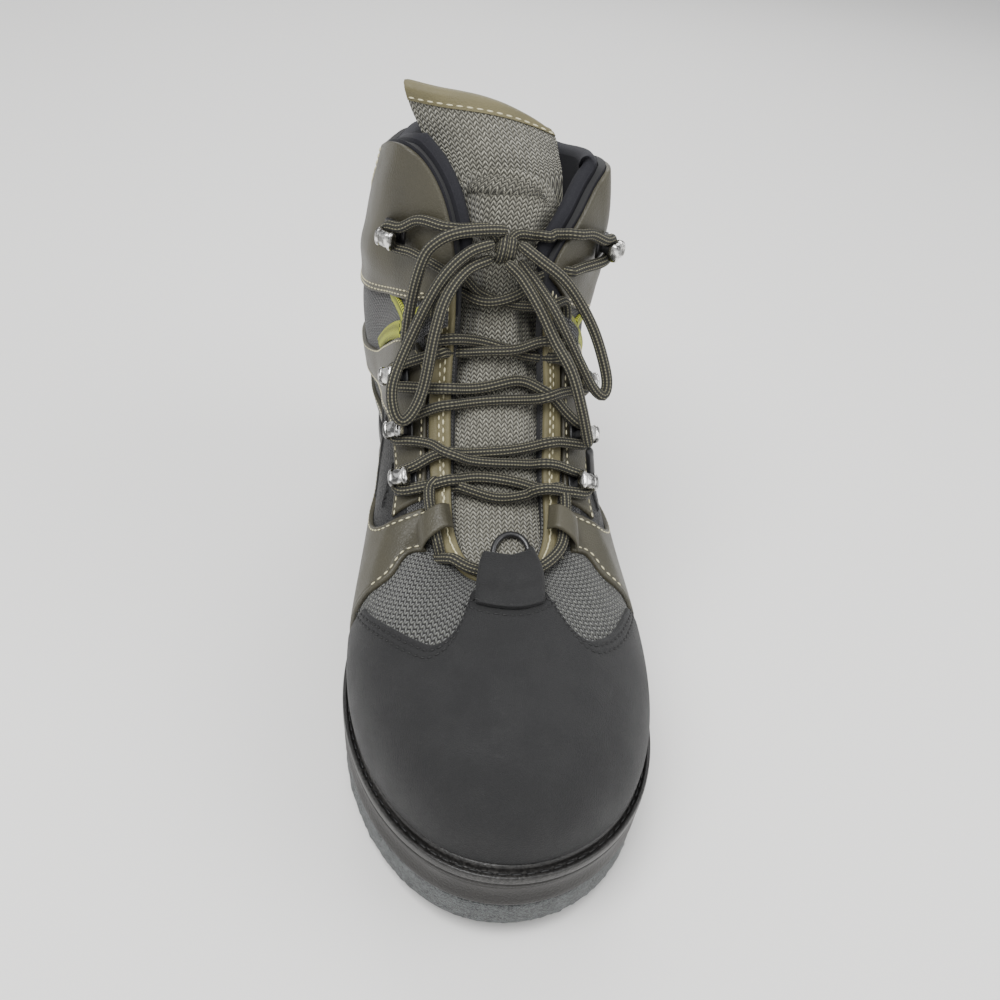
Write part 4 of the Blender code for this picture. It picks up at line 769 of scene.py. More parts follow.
class Nodes:
    """Short ways to add shader nodes to a tree."""

    def __init__(self, tree: NodeTree) -> None:
        """Work in the given tree."""
        self.tree = tree

    def add(self, kind: str, **inputs: object) -> Node:
        """Add a node and fill or link its inputs.

        Args:
            kind: Type of the node.
            **inputs: Input names with underscores for spaces, and a socket or a value each.

        Returns:
            The node.
        """
        return self.fill(self.tree.nodes.new(kind), **inputs)

    def fill(self, node: Node, **inputs: object) -> Node:
        """Fill or link inputs of a node, named with underscores for spaces."""
        for name, value in inputs.items():
            self.feed(node.inputs[name.replace("_", " ")], value)
        return node

    def feed(self, socket: NodeSocket, value: object) -> None:
        """Link a socket to an input, or set its value."""
        if isinstance(value, NodeSocket):
            self.tree.links.new(value, socket)
        else:
            socket.default_value = value

    def math(self, operation: str, *values: object) -> NodeSocket:
        """Result of a Math node."""
        node = self.tree.nodes.new("ShaderNodeMath")
        node.operation = operation
        for socket, value in zip(node.inputs, values):
            self.feed(socket, value)
        return node.outputs[0]

    def times(self, *values: object) -> NodeSocket:
        """Product of two values."""
        return self.math("MULTIPLY", *values)

    def plus(self, *values: object) -> NodeSocket:
        """Sum of two values."""
        return self.math("ADD", *values)

    def wave(self, turns: object) -> NodeSocket:
        """Sine of a number of turns."""
        return self.math("SINE", self.times(turns, math.tau))

    def mix(self, share: object, first: object, second: object) -> NodeSocket:
        """Colour between two by share."""
        node = self.tree.nodes.new("ShaderNodeMix")
        node.data_type = "RGBA"
        for index, value in ((0, share), (6, first), (7, second)):
            self.feed(node.inputs[index], value)
        return node.outputs[2]

    def span(self, value: object, low: float, high: float) -> NodeSocket:
        """Smooth step of a value from low to high."""
        node = self.add("ShaderNodeMapRange", Value=value, From_Min=low, From_Max=high)
        node.interpolation_type = "SMOOTHSTEP"
        return node.outputs[0]

    def noise(self, vector: object, scale: object, detail: float = 3.0) -> NodeSocket:
        """Height of a noise."""
        return self.add("ShaderNodeTexNoise", Vector=vector, Scale=scale, Detail=detail).outputs[0]

    def object_place(self) -> NodeSocket:
        """Place in the object, in metres."""
        return self.add("ShaderNodeTexCoord").outputs["Object"]

    def cloth_place(self) -> NodeSocket:
        """Place on the piece's own cloth, in metres."""
        node = self.add("ShaderNodeUVMap")
        node.uv_map = "cloth"
        return node.outputs[0]

    def group(self, tree: NodeTree, **inputs: object) -> Node:
        """Place a shared effect."""
        node = self.tree.nodes.new("ShaderNodeGroup")
        node.node_tree = tree
        return self.fill(node, **inputs)


class Effects:
    """Effects that several finishes share, each a node group."""

    def __init__(self) -> None:
        """Build every group once."""
        self.grain = self.make_grain()
        self.knit = self.make_knit()
        self.dust_and_highlight = self.make_dust_and_highlight()

    @staticmethod
    def start(name: str, inputs: Sequence[str], outputs: Sequence[str]) -> tuple[Nodes, Node, Node]:
        """Open a group.

        Args:
            name: Name of the group.
            inputs: Names of its inputs: Place is a vector and the others are numbers.
            outputs: Names of its outputs, all numbers.

        Returns:
            The node helper, the group's input node and its output node.
        """
        tree = bpy.data.node_groups.new(name, "ShaderNodeTree")
        for word in inputs:
            kind = "NodeSocketVector" if word == "Place" else "NodeSocketFloat"
            tree.interface.new_socket(word, in_out="INPUT", socket_type=kind)
        for word in outputs:
            tree.interface.new_socket(word, in_out="OUTPUT", socket_type="NodeSocketFloat")
        nodes = Nodes(tree)
        return nodes, tree.nodes.new("NodeGroupInput"), tree.nodes.new("NodeGroupOutput")

    def make_grain(self) -> NodeTree:
        """Pebbled grain of leather or rubber: cells with fine pores between them."""
        nodes, given, out = self.start("grain", ("Place", "Scale", "Pores"), ("Height", "Mottle"))
        place, scale = given.outputs["Place"], given.outputs["Scale"]
        cells = nodes.tree.nodes.new("ShaderNodeTexVoronoi")
        cells.feature = "DISTANCE_TO_EDGE"
        nodes.fill(cells, Vector=place, Scale=scale)
        fine = nodes.noise(place, nodes.times(scale, 2.3), 4.0)
        edge = nodes.span(cells.outputs[0], 0.0, 0.22)
        pores = nodes.times(fine, given.outputs["Pores"])
        nodes.feed(out.inputs["Height"], nodes.plus(edge, pores))
        broad = nodes.noise(place, nodes.times(scale, 0.05), 5.0)
        nodes.feed(out.inputs["Mottle"], nodes.span(broad, 0.35, 0.68))
        return nodes.tree

    def make_knit(self) -> NodeTree:
        """Columns of slanted loops, as in a warp knit: each column leans the other way."""
        nodes, given, out = self.start(
            "knit", ("Place", "Column", "Course", "Slant"), ("Height", "Thread", "Shade")
        )
        apart = nodes.add("ShaderNodeSeparateXYZ", Vector=given.outputs["Place"])
        across = nodes.math("DIVIDE", apart.outputs[0], given.outputs["Column"])
        lean = nodes.math("PINGPONG", across, 1.0)
        slant = nodes.times(lean, given.outputs["Slant"])
        up = nodes.plus(nodes.math("DIVIDE", apart.outputs[1], given.outputs["Course"]), slant)
        wave = nodes.wave(up)
        ridge = nodes.times(nodes.math("SINE", nodes.times(lean, math.pi)), 0.8)
        height = nodes.times(nodes.plus(wave, 1.0), nodes.plus(ridge, 0.25))
        nodes.feed(out.inputs["Height"], height)
        nodes.feed(out.inputs["Thread"], nodes.span(height, 0.15, 1.1))
        cell = nodes.tree.nodes.new("ShaderNodeTexWhiteNoise")
        cell.noise_dimensions = "3D"
        column, course = nodes.math("FLOOR", across), nodes.math("FLOOR", up)
        join = nodes.add("ShaderNodeCombineXYZ", X=column, Y=course, Z=0.0)
        nodes.feed(cell.inputs["Vector"], join.outputs[0])
        nodes.feed(out.inputs["Shade"], cell.outputs["Value"])
        return nodes.tree

    def make_dust_and_highlight(self) -> NodeTree:
        """Faint scuffs, and on the welt painted highlight: broad patches broken up by fine specks."""
        nodes, given, out = self.start("dust_and_highlight", ("Place", "Patch", "Speck"), ("Mask",))
        place = given.outputs["Place"]
        broad = nodes.noise(place, given.outputs["Patch"], 5.0)
        specks = nodes.noise(place, given.outputs["Speck"], 2.0)
        mask = nodes.times(nodes.span(broad, 0.42, 0.72), nodes.span(specks, 0.42, 0.62))
        nodes.feed(out.inputs["Mask"], mask)
        return nodes.tree


Colour = tuple[float, float, float, float]


def start_material(name: str) -> tuple[Material, Nodes, Node]:
    """A material with its node helper and Principled BSDF."""
    made = bpy.data.materials.new(name)
    made.use_nodes = True
    return made, Nodes(made.node_tree), made.node_tree.nodes["Principled BSDF"]


def set_bump(nodes: Nodes, shader: Node, height: object, depth: float, strength: float = 1.0) -> None:
    """Give a shader a bump.

    Args:
        nodes: Helper of the material's tree.
        shader: The Principled BSDF.
        height: Socket that holds the height.
        depth: Real depth of height 1, in metres.
        strength: Share of the effect.
    """
    bump = nodes.add("ShaderNodeBump", Height=height, Distance=depth, Strength=strength)
    nodes.feed(shader.inputs["Normal"], bump.outputs[0])


@dataclass(frozen=True)
class LeatherFinish:
    """Leather, nubuck or rubber with grain and scuffed patches; on the welt the patches are painted highlight
    too.
    """

    name: str
    colour: Colour
    worn_and_highlight: Colour
    roughness: float
    grain: float
    depth: float
    wear_and_highlight: float
    sheen: float = 0.0
    mottle: float = 1.28

    def build(self, effects: Effects) -> Material:
        """The material."""
        made, nodes, shader = start_material(self.name)
        place = nodes.object_place()
        grain = nodes.group(effects.grain, Place=place, Scale=self.grain, Pores=0.8)
        dust_and_highlight = nodes.group(effects.dust_and_highlight, Place=place, Patch=38.0, Speck=900.0)
        # Patches in the pale colour: scuffs, and on the welt painted highlight as well.
        worn_and_highlight = nodes.times(dust_and_highlight.outputs["Mask"], self.wear_and_highlight)
        light = tuple(channel * self.mottle for channel in self.colour[:3]) + (1,)
        tone = nodes.mix(grain.outputs["Mottle"], self.colour, light)
        rough = nodes.plus(nodes.times(grain.outputs["Mottle"], 0.10), self.roughness - 0.05)
        colour = nodes.mix(worn_and_highlight, tone, self.worn_and_highlight)
        nodes.fill(shader, Base_Color=colour, Roughness=rough, Sheen_Weight=self.sheen, Sheen_Roughness=0.5)
        set_bump(nodes, shader, grain.outputs["Height"], self.depth)
        return made


@dataclass(frozen=True)
class KnitFinish:
    """Knitted or woven cloth that follows its own cloth map."""

    name: str
    thread: Colour
    light: Colour
    gap: Colour
    column: float
    course: float
    slant: float
    depth: float
    roughness: float = 0.85

    def build(self, effects: Effects) -> Material:
        """The material."""
        made, nodes, shader = start_material(self.name)
        place = nodes.cloth_place()
        knit = nodes.group(effects.knit, Place=place, Column=self.column, Course=self.course, Slant=self.slant)
        fuzz = nodes.noise(nodes.object_place(), 2600.0)
        shade = nodes.mix(knit.outputs["Shade"], self.thread, self.light)
        shade = nodes.mix(nodes.span(fuzz, 0.35, 0.75), shade, self.thread)
        colour = nodes.mix(knit.outputs["Thread"], self.gap, shade)
        nodes.fill(shader, Base_Color=colour, Roughness=self.roughness, Sheen_Weight=0.25)
        height = nodes.plus(knit.outputs["Height"], nodes.times(fuzz, 0.3))
        set_bump(nodes, shader, height, self.depth)
        return made


@dataclass(frozen=True)
class FeltFinish:
    """Matted felt of dark and pale fibres."""

    name: str
    dark: Colour
    pale: Colour

    def build(self, effects: Effects) -> Material:
        """The material."""
        made, nodes, shader = start_material(self.name)
        place = nodes.object_place()
        warp = nodes.add("ShaderNodeMapping", Vector=place, Scale=(1.0, 1.0, 2.2))
        matted = nodes.noise(warp.outputs[0], 1500.0, 6.0)
        clumps = nodes.noise(warp.outputs[0], 420.0, 3.0)
        share = nodes.span(nodes.plus(matted, nodes.times(clumps, 0.5)), 0.62, 0.90)
        colour = nodes.mix(share, self.dark, self.pale)
        nodes.fill(shader, Base_Color=colour, Roughness=0.95, Sheen_Weight=0.3)
        set_bump(nodes, shader, matted, 0.0012)
        return made


@dataclass(frozen=True)
class PlainFinish:
    """Metal, plastic, foam or thread with a fine noise in its gloss."""

    name: str
    colour: Colour
    roughness: float
    metallic: float = 0.0
    coat: float = 0.0
    noise: float = 800.0
    depth: float = 0.00006
    contrast: float = 1.0

    def build(self, effects: Effects) -> Material:
        """The material."""
        made, nodes, shader = start_material(self.name)
        fine = nodes.noise(nodes.object_place(), self.noise)
        dull = tuple(channel * self.contrast for channel in self.colour[:3]) + (1.0,)
        patch = nodes.span(nodes.noise(nodes.object_place(), 330.0), 0.42, 0.58)
        rough = nodes.plus(nodes.times(fine, 0.2), self.roughness - 0.1)
        colour = nodes.mix(patch, dull, self.colour)
        nodes.fill(shader, Base_Color=colour, Roughness=rough)
        nodes.fill(shader, Metallic=self.metallic, Coat_Weight=self.coat)
        set_bump(nodes, shader, fine, self.depth)
        return made


@dataclass(frozen=True)
class BraidFinish:
    """Braided lace: slanted plaits with pale beaded lines along it."""

    name: str
    dark: Colour
    mid: Colour
    bead: Colour
    plait: float = 0.0012
    lines: tuple[float, ...] = (0.03, 0.14, 0.25, 0.36, 0.47, 0.58, 0.69, 0.80, 0.91)

    def build(self, effects: Effects) -> Material:
        """The material."""
        made, nodes, shader = start_material(self.name)
        apart = nodes.add("ShaderNodeSeparateXYZ", Vector=nodes.cloth_place())
        turn, run = apart.outputs[0], apart.outputs[1]
        steps = nodes.math("DIVIDE", run, self.plait)
        around = nodes.times(turn, 12.0)
        first = nodes.math("SINE", nodes.times(nodes.plus(steps, around), math.tau))
        second = nodes.math("SINE", nodes.times(nodes.math("SUBTRACT", steps, around), math.tau))
        plaits = nodes.span(nodes.math("MAXIMUM", first, second), -0.2, 1.0)
        lines: object = 0.0
        for line in self.lines:
            off = nodes.math("ABSOLUTE", nodes.math("SUBTRACT", turn, line))
            lines = nodes.math("MAXIMUM", lines, nodes.span(off, 0.026, 0.010))
        bead = nodes.span(nodes.wave(steps), -0.5, 0.5)
        marks = nodes.times(lines, nodes.plus(nodes.times(bead, 0.7), 0.3))
        colour = nodes.mix(marks, nodes.mix(plaits, self.dark, self.mid), self.bead)
        nodes.fill(shader, Base_Color=colour, Roughness=0.72, Sheen_Weight=0.05)
        height = nodes.plus(plaits, nodes.times(marks, 0.8))
        set_bump(nodes, shader, height, 0.00030)
        return made


@dataclass(frozen=True)
class WebbingFinish:
    """Striped webbing in yellow and black."""

    name: str
    bright: Colour
    dark: Colour

    def build(self, effects: Effects) -> Material:
        """The material."""
        made, nodes, shader = start_material(self.name)
        apart = nodes.add("ShaderNodeSeparateXYZ", Vector=nodes.cloth_place())
        along = nodes.plus(apart.outputs[0], nodes.times(apart.outputs[1], 0.6))
        stripe = nodes.math("SINE", nodes.times(along, math.tau / 0.0016))
        across = nodes.math("SINE", nodes.times(apart.outputs[1], math.tau / 0.0040))
        mask = nodes.span(nodes.plus(stripe, nodes.times(across, 0.5)), -0.25, 0.25)
        nodes.fill(shader, Base_Color=nodes.mix(mask, self.dark, self.bright), Roughness=0.7)
        set_bump(nodes, shader, stripe, 0.00018)
        return made


class Finishes:
    """Every finish of the boot."""

    def __init__(self) -> None:
        """Build the materials."""
        effects = Effects()
        self.nubuck = LeatherFinish(
            "black_nubuck", (0.0042, 0.0042, 0.0046, 1), (0.0185, 0.0182, 0.0185, 1),
            0.74, 1500.0, 0.00009, 0.08, sheen=0.06,
        ).build(effects)
        self.olive = LeatherFinish(
            "olive_leather", (0.040, 0.036, 0.022, 1), (0.080, 0.073, 0.047, 1), 0.50, 900.0, 0.00006, 0.12
        ).build(effects)
        self.trim = LeatherFinish(
            "olive_trim", (0.108, 0.094, 0.044, 1), (0.175, 0.153, 0.078, 1), 0.60, 1100.0, 0.00006, 0.25
        ).build(effects)
        self.rubber = LeatherFinish(
            "rubber", (0.0070, 0.0060, 0.0052, 1), (0.036, 0.033, 0.029, 1), 0.46, 700.0, 0.00006, 0.30
        ).build(effects)
        # The welt's pale patch colour and large patch share paint a highlight as well as scuffs.
        self.welt = LeatherFinish(
            "welt_rubber", (0.0085, 0.0080, 0.0075, 1), (0.066, 0.063, 0.059, 1), 0.42, 800.0, 0.00005, 0.45
        ).build(effects)
        self.felt = FeltFinish("felt", (0.014, 0.017, 0.018, 1), (0.112, 0.124, 0.122, 1)).build(effects)
        self.window = KnitFinish(
            "upper_knit", (0.062, 0.064, 0.055, 1), (0.165, 0.168, 0.144, 1), (0.005, 0.005, 0.005, 1),
            column=0.0015, course=0.0019, slant=0.6, depth=0.00045,
        ).build(effects)
        self.ribbed = LeatherFinish(
            "ribbed_panel", (0.0085, 0.0085, 0.0085, 1), (0.028, 0.028, 0.027, 1), 0.62, 620.0, 0.00045, 0.3
        ).build(effects)
        self.gusset = KnitFinish(
            "elastic_gusset", (0.020, 0.020, 0.020, 1), (0.045, 0.045, 0.043, 1), (0.004, 0.004, 0.004, 1),
            column=0.0009, course=0.0011, slant=0.5, depth=0.0003,
        ).build(effects)
        self.tongue = KnitFinish(
            "tongue_knit", (0.250, 0.240, 0.188, 1), (0.520, 0.505, 0.410, 1), (0.050, 0.047, 0.036, 1),
            column=0.00115, course=0.0017, slant=0.9, depth=0.00045,
        ).build(effects)
        self.foam = PlainFinish(
            "navy_foam", (0.0085, 0.0085, 0.0125, 1), 0.88, noise=1800.0, depth=0.00012
        ).build(effects)
        self.insole = PlainFinish("insole_foam", (0.020, 0.020, 0.021, 1), 0.9, noise=1500.0).build(effects)
        self.webbing = WebbingFinish(
            "webbing", (0.480, 0.520, 0.040, 1), (0.012, 0.013, 0.010, 1)
        ).build(effects)
        self.bright = PlainFinish(
            "bright_metal", (0.780, 0.770, 0.740, 1), 0.22, 1.0, noise=300.0, depth=0.0004, contrast=0.22
        ).build(effects)
        self.black_metal = PlainFinish(
            "black_metal", (0.014, 0.014, 0.015, 1), 0.38, coat=0.3
        ).build(effects)
        self.lace = BraidFinish(
            "lace", (0.0030, 0.0029, 0.0022, 1), (0.0125, 0.0120, 0.0080, 1), (0.215, 0.200, 0.125, 1)
        ).build(effects)
        self.pale_thread = PlainFinish("pale_thread", (0.560, 0.520, 0.340, 1), 0.7).build(effects)
        self.black_thread = PlainFinish("black_thread", (0.006, 0.006, 0.006, 1), 0.6).build(effects)


class Stitch(NamedTuple):
    """Distance between stitches, their length and the radius of their thread."""

    spacing: float
    length: float
    radius: float


TRIM_STITCH = Stitch(0.0031, 0.0023, 0.00036)
LEATHER_STITCH = Stitch(0.0029, 0.0021, 0.00032)
NUBUCK_STITCH = Stitch(0.0027, 0.0021, 0.00038)
WELT_STITCH = Stitch(0.0046, 0.0040, 0.00050)
BINDING_STITCH = Stitch(0.0034, 0.0026, 0.00034)


class StitchTool:
    """Rows of stitches laid along routes by Geometry Nodes."""

    def __init__(self) -> None:
        """Build the tree once."""
        tree = bpy.data.node_groups.new("stitch_run", "GeometryNodeTree")
        face = tree.interface
        face.new_socket("Geometry", in_out="INPUT", socket_type="NodeSocketGeometry")
        self.inputs = {}
        for name, kind in (
            ("Spacing", "NodeSocketFloat"),
            ("Stitch Length", "NodeSocketFloat"),
            ("Thread Radius", "NodeSocketFloat"),
            ("Thread", "NodeSocketMaterial"),
        ):
            self.inputs[name] = face.new_socket(name, in_out="INPUT", socket_type=kind).identifier
        face.new_socket("Geometry", in_out="OUTPUT", socket_type="NodeSocketGeometry")
        nodes, links = tree.nodes, tree.links
        given, out = nodes.new("NodeGroupInput"), nodes.new("NodeGroupOutput")
        to_curve = nodes.new("GeometryNodeMeshToCurve")
        resample = nodes.new("GeometryNodeResampleCurve")
        resample.mode = "LENGTH"
        tangent = nodes.new("GeometryNodeInputTangent")
        align = nodes.new("FunctionNodeAlignRotationToVector")
        align.axis = "X"
        bead = nodes.new("GeometryNodeMeshUVSphere")
        bead.inputs["Segments"].default_value = 6
        bead.inputs["Rings"].default_value = 5
        half = nodes.new("ShaderNodeMath")
        half.operation = "MULTIPLY"
        half.inputs[1].default_value = 0.5
        scale = nodes.new("ShaderNodeCombineXYZ")
        shape = nodes.new("GeometryNodeTransform")
        place = nodes.new("GeometryNodeInstanceOnPoints")
        real = nodes.new("GeometryNodeRealizeInstances")
        smooth = nodes.new("GeometryNodeSetShadeSmooth")
        paint = nodes.new("GeometryNodeSetMaterial")
        for start, end in (
            (given.outputs["Geometry"], to_curve.inputs[0]),
            (to_curve.outputs[0], resample.inputs["Curve"]),
            (given.outputs["Spacing"], resample.inputs["Length"]),
            (resample.outputs[0], place.inputs["Points"]),
            (tangent.outputs[0], align.inputs["Vector"]),
            (align.outputs[0], place.inputs["Rotation"]),
            (given.outputs["Stitch Length"], half.inputs[0]),
            (half.outputs[0], scale.inputs["X"]),
            (given.outputs["Thread Radius"], scale.inputs["Y"]),
            (given.outputs["Thread Radius"], scale.inputs["Z"]),
            (bead.outputs[0], shape.inputs["Geometry"]),
            (scale.outputs[0], shape.inputs["Scale"]),
            (shape.outputs[0], place.inputs["Instance"]),
            (place.outputs[0], real.inputs[0]),
            (real.outputs[0], smooth.inputs[0]),
            (smooth.outputs[0], paint.inputs["Geometry"]),
            (given.outputs["Thread"], paint.inputs["Material"]),
            (paint.outputs[0], out.inputs[0]),
        ):
            links.new(start, end)
        self.tree = tree

    def sew(self, name: str, routes: Sequence[Array], thread: Material, size: Stitch) -> None:
        """Lay stitches along routes, as one plain mesh.

        Args:
            name: Name of the piece.
            routes: Points of each row.
            thread: Material of the thread.
            size: Size of the stitches.
        """
        points, edges = [], []
        for route in routes:
            base = len(points)
            points.extend(map(tuple, route))
            edges.extend((base + i, base + i + 1) for i in range(len(route) - 1))
        mesh = bpy.data.meshes.new(name + "_route")
        mesh.from_pydata(points, edges, [])
        line = put_in(name + "_route", mesh)
        run = line.modifiers.new("stitches", "NODES")
        run.node_group = self.tree
        run[self.inputs["Spacing"]] = size.spacing
        run[self.inputs["Stitch Length"]] = size.length
        run[self.inputs["Thread Radius"]] = size.radius
        run[self.inputs["Thread"]] = thread
        bpy.context.view_layer.update()
        graph = bpy.context.evaluated_depsgraph_get()
        sewn = bpy.data.meshes.new_from_object(line.evaluated_get(graph))
        bpy.data.objects.remove(line, do_unlink=True)
        made = put_in(name, sewn)
        sewn.name = name
        settle(made)


class Side(Enum):
    """The low or high edge of a panel."""

    LOW = "low"
    HIGH = "high"


@dataclass
class Panel:
    """A leather piece laid on the upper, with rounded edges and grooves for its seams."""

    name: str
    node: str
    slot: str
    table: list[Band]
    lift: float = 0.0
    thick: float = SIZES.overlay
    round_off: float = 0.0011
    step: float = 0.0013
    rows: int = 14
    seams: tuple[tuple[Side, float], ...] = ()
    groove_depth: float = 0.00022
    groove_width: float = 0.0005
    thread_sink: float = 0.00012
    rim: tuple[float, ...] = (0.0, 0.12, 0.35, 0.7, 1.1, 1.6, 2.1, 2.6, 3.2, 3.8, 4.4, 5.0)

    def __post_init__(self) -> None:
        """Lay the panel's grid of places and shares."""
        rough = smooth_rows(self.table, 200)
        middle = LAST.meridian((rough[:, 0] + rough[:, 2]) / 2, (rough[:, 1] + rough[:, 3]) / 2)
        reach = np.linalg.norm(np.diff(middle, axis=0), axis=1).sum()
        count = int(reach / self.step)
        low_place, low_share, high_place, high_share = smooth_rows(self.table, count).T
        bead = LAST.share_at_height(low_place, SIZES.welt_thick + SIZES.bead_height)
        low_share = np.maximum(low_share, bead)
        self.low = np.column_stack([low_place, low_share])
        self.high = np.column_stack([high_place, high_share])
        t = np.linspace(0, 1, 25)[:, None, None]
        path = self.low + (self.high - self.low) * t
        points = LAST.meridian(path[..., 0], path[..., 1])
        self.width = np.linalg.norm(np.diff(points, axis=0), axis=2).sum(axis=0)
        rim = np.array(self.rim) * 0.001
        fit = np.minimum(1.0, self.width * 0.46 / rim[-1])
        near = rim[None, :] * fit[:, None] / self.width[:, None]
        inner = np.linspace(0, 1, self.rows + 2)[1:-1][None, :]
        between = near[:, -1:] + (1 - 2 * near[:, -1:]) * inner
        self.across = np.concatenate([near, between, 1 - near[:, ::-1]], axis=1)
        grid = self.low[:, None] + (self.high - self.low)[:, None] * self.across[..., None]
        self.place, self.share = grid[..., 0], grid[..., 1]

    def surface(self) -> tuple[Array, Array, Array]:
        """Outer grid, inner grid and cloth map of the panel."""
        middle = self.place.shape[1] // 2
        spine = LAST.meridian(self.place[:, middle], self.share[:, middle])
        run = run_along(spine)
        to_low = self.across * self.width[:, None]
        to_high = (1 - self.across) * self.width[:, None]
        ends = np.minimum(run, run[-1] - run)[:, None]
        edge = np.minimum(np.minimum(to_low, to_high), ends)
        profile = 0.25 + 0.75 * dome(edge / self.round_off)
        groove = np.zeros_like(edge)
        for side, inset in self.seams:
            away = (to_low if side is Side.LOW else to_high) - inset
            groove += self.groove_depth * np.exp(-((away / self.groove_width) ** 2))
        out = SIZES.clear + self.lift + self.thick * profile - groove
        outer = LAST.skin(self.place, self.share, out)
        inner = LAST.skin(self.place, self.share, SIZES.clear * 0.4 + self.lift)
        cloth = np.stack([np.broadcast_to(run[:, None], to_low.shape), to_low], axis=-1)
        return outer, inner, cloth

    def build(self, paint: Material) -> None:
        """Make the panel."""
        piece = Piece(self.name, self.slot, (self.node,))
        outer, inner, cloth = self.surface()
        piece.add_wall(inner, outer, cloth)
        piece.finish(paint)

    def seam(self, side: Side, inset: float, first: float = 0.0, last: float = 1.0) -> Array:
        """Points of a seam that runs along an edge.

        Args:
            side: The edge.
            inset: Distance from it.
            first: Share of the panel's length where the seam starts.
            last: Share where it ends.

        Returns:
            Points just above the leather.
        """
        share = np.clip(inset / self.width, 0.03, 0.47)[:, None]
        way = self.high - self.low
        points = self.low + way * share if side is Side.LOW else self.high - way * share
        count = len(points)
        points = points[int(first * count): max(int(last * count), 2)]
        out = SIZES.clear + self.lift + self.thick - self.thread_sink
        return LAST.skin(points[:, 0], points[:, 1], out)

    def whole_seams(self) -> list[Array]:
        """Every seam of the panel from end to end."""
        return [self.seam(side, inset) for side, inset in self.seams]


def mirrored(table: list[Band]) -> list[Band]:
    """A table from the inner side carried on to the outer side."""
    turn = 2.0 if table[-1].low_place > 0.5 else 0.0
    other = [Band(turn - r.low_place, r.low_share, turn - r.high_place, r.high_share) for r in table[::-1]]
    return table + other[1:]


Level = tuple[float, Callable]


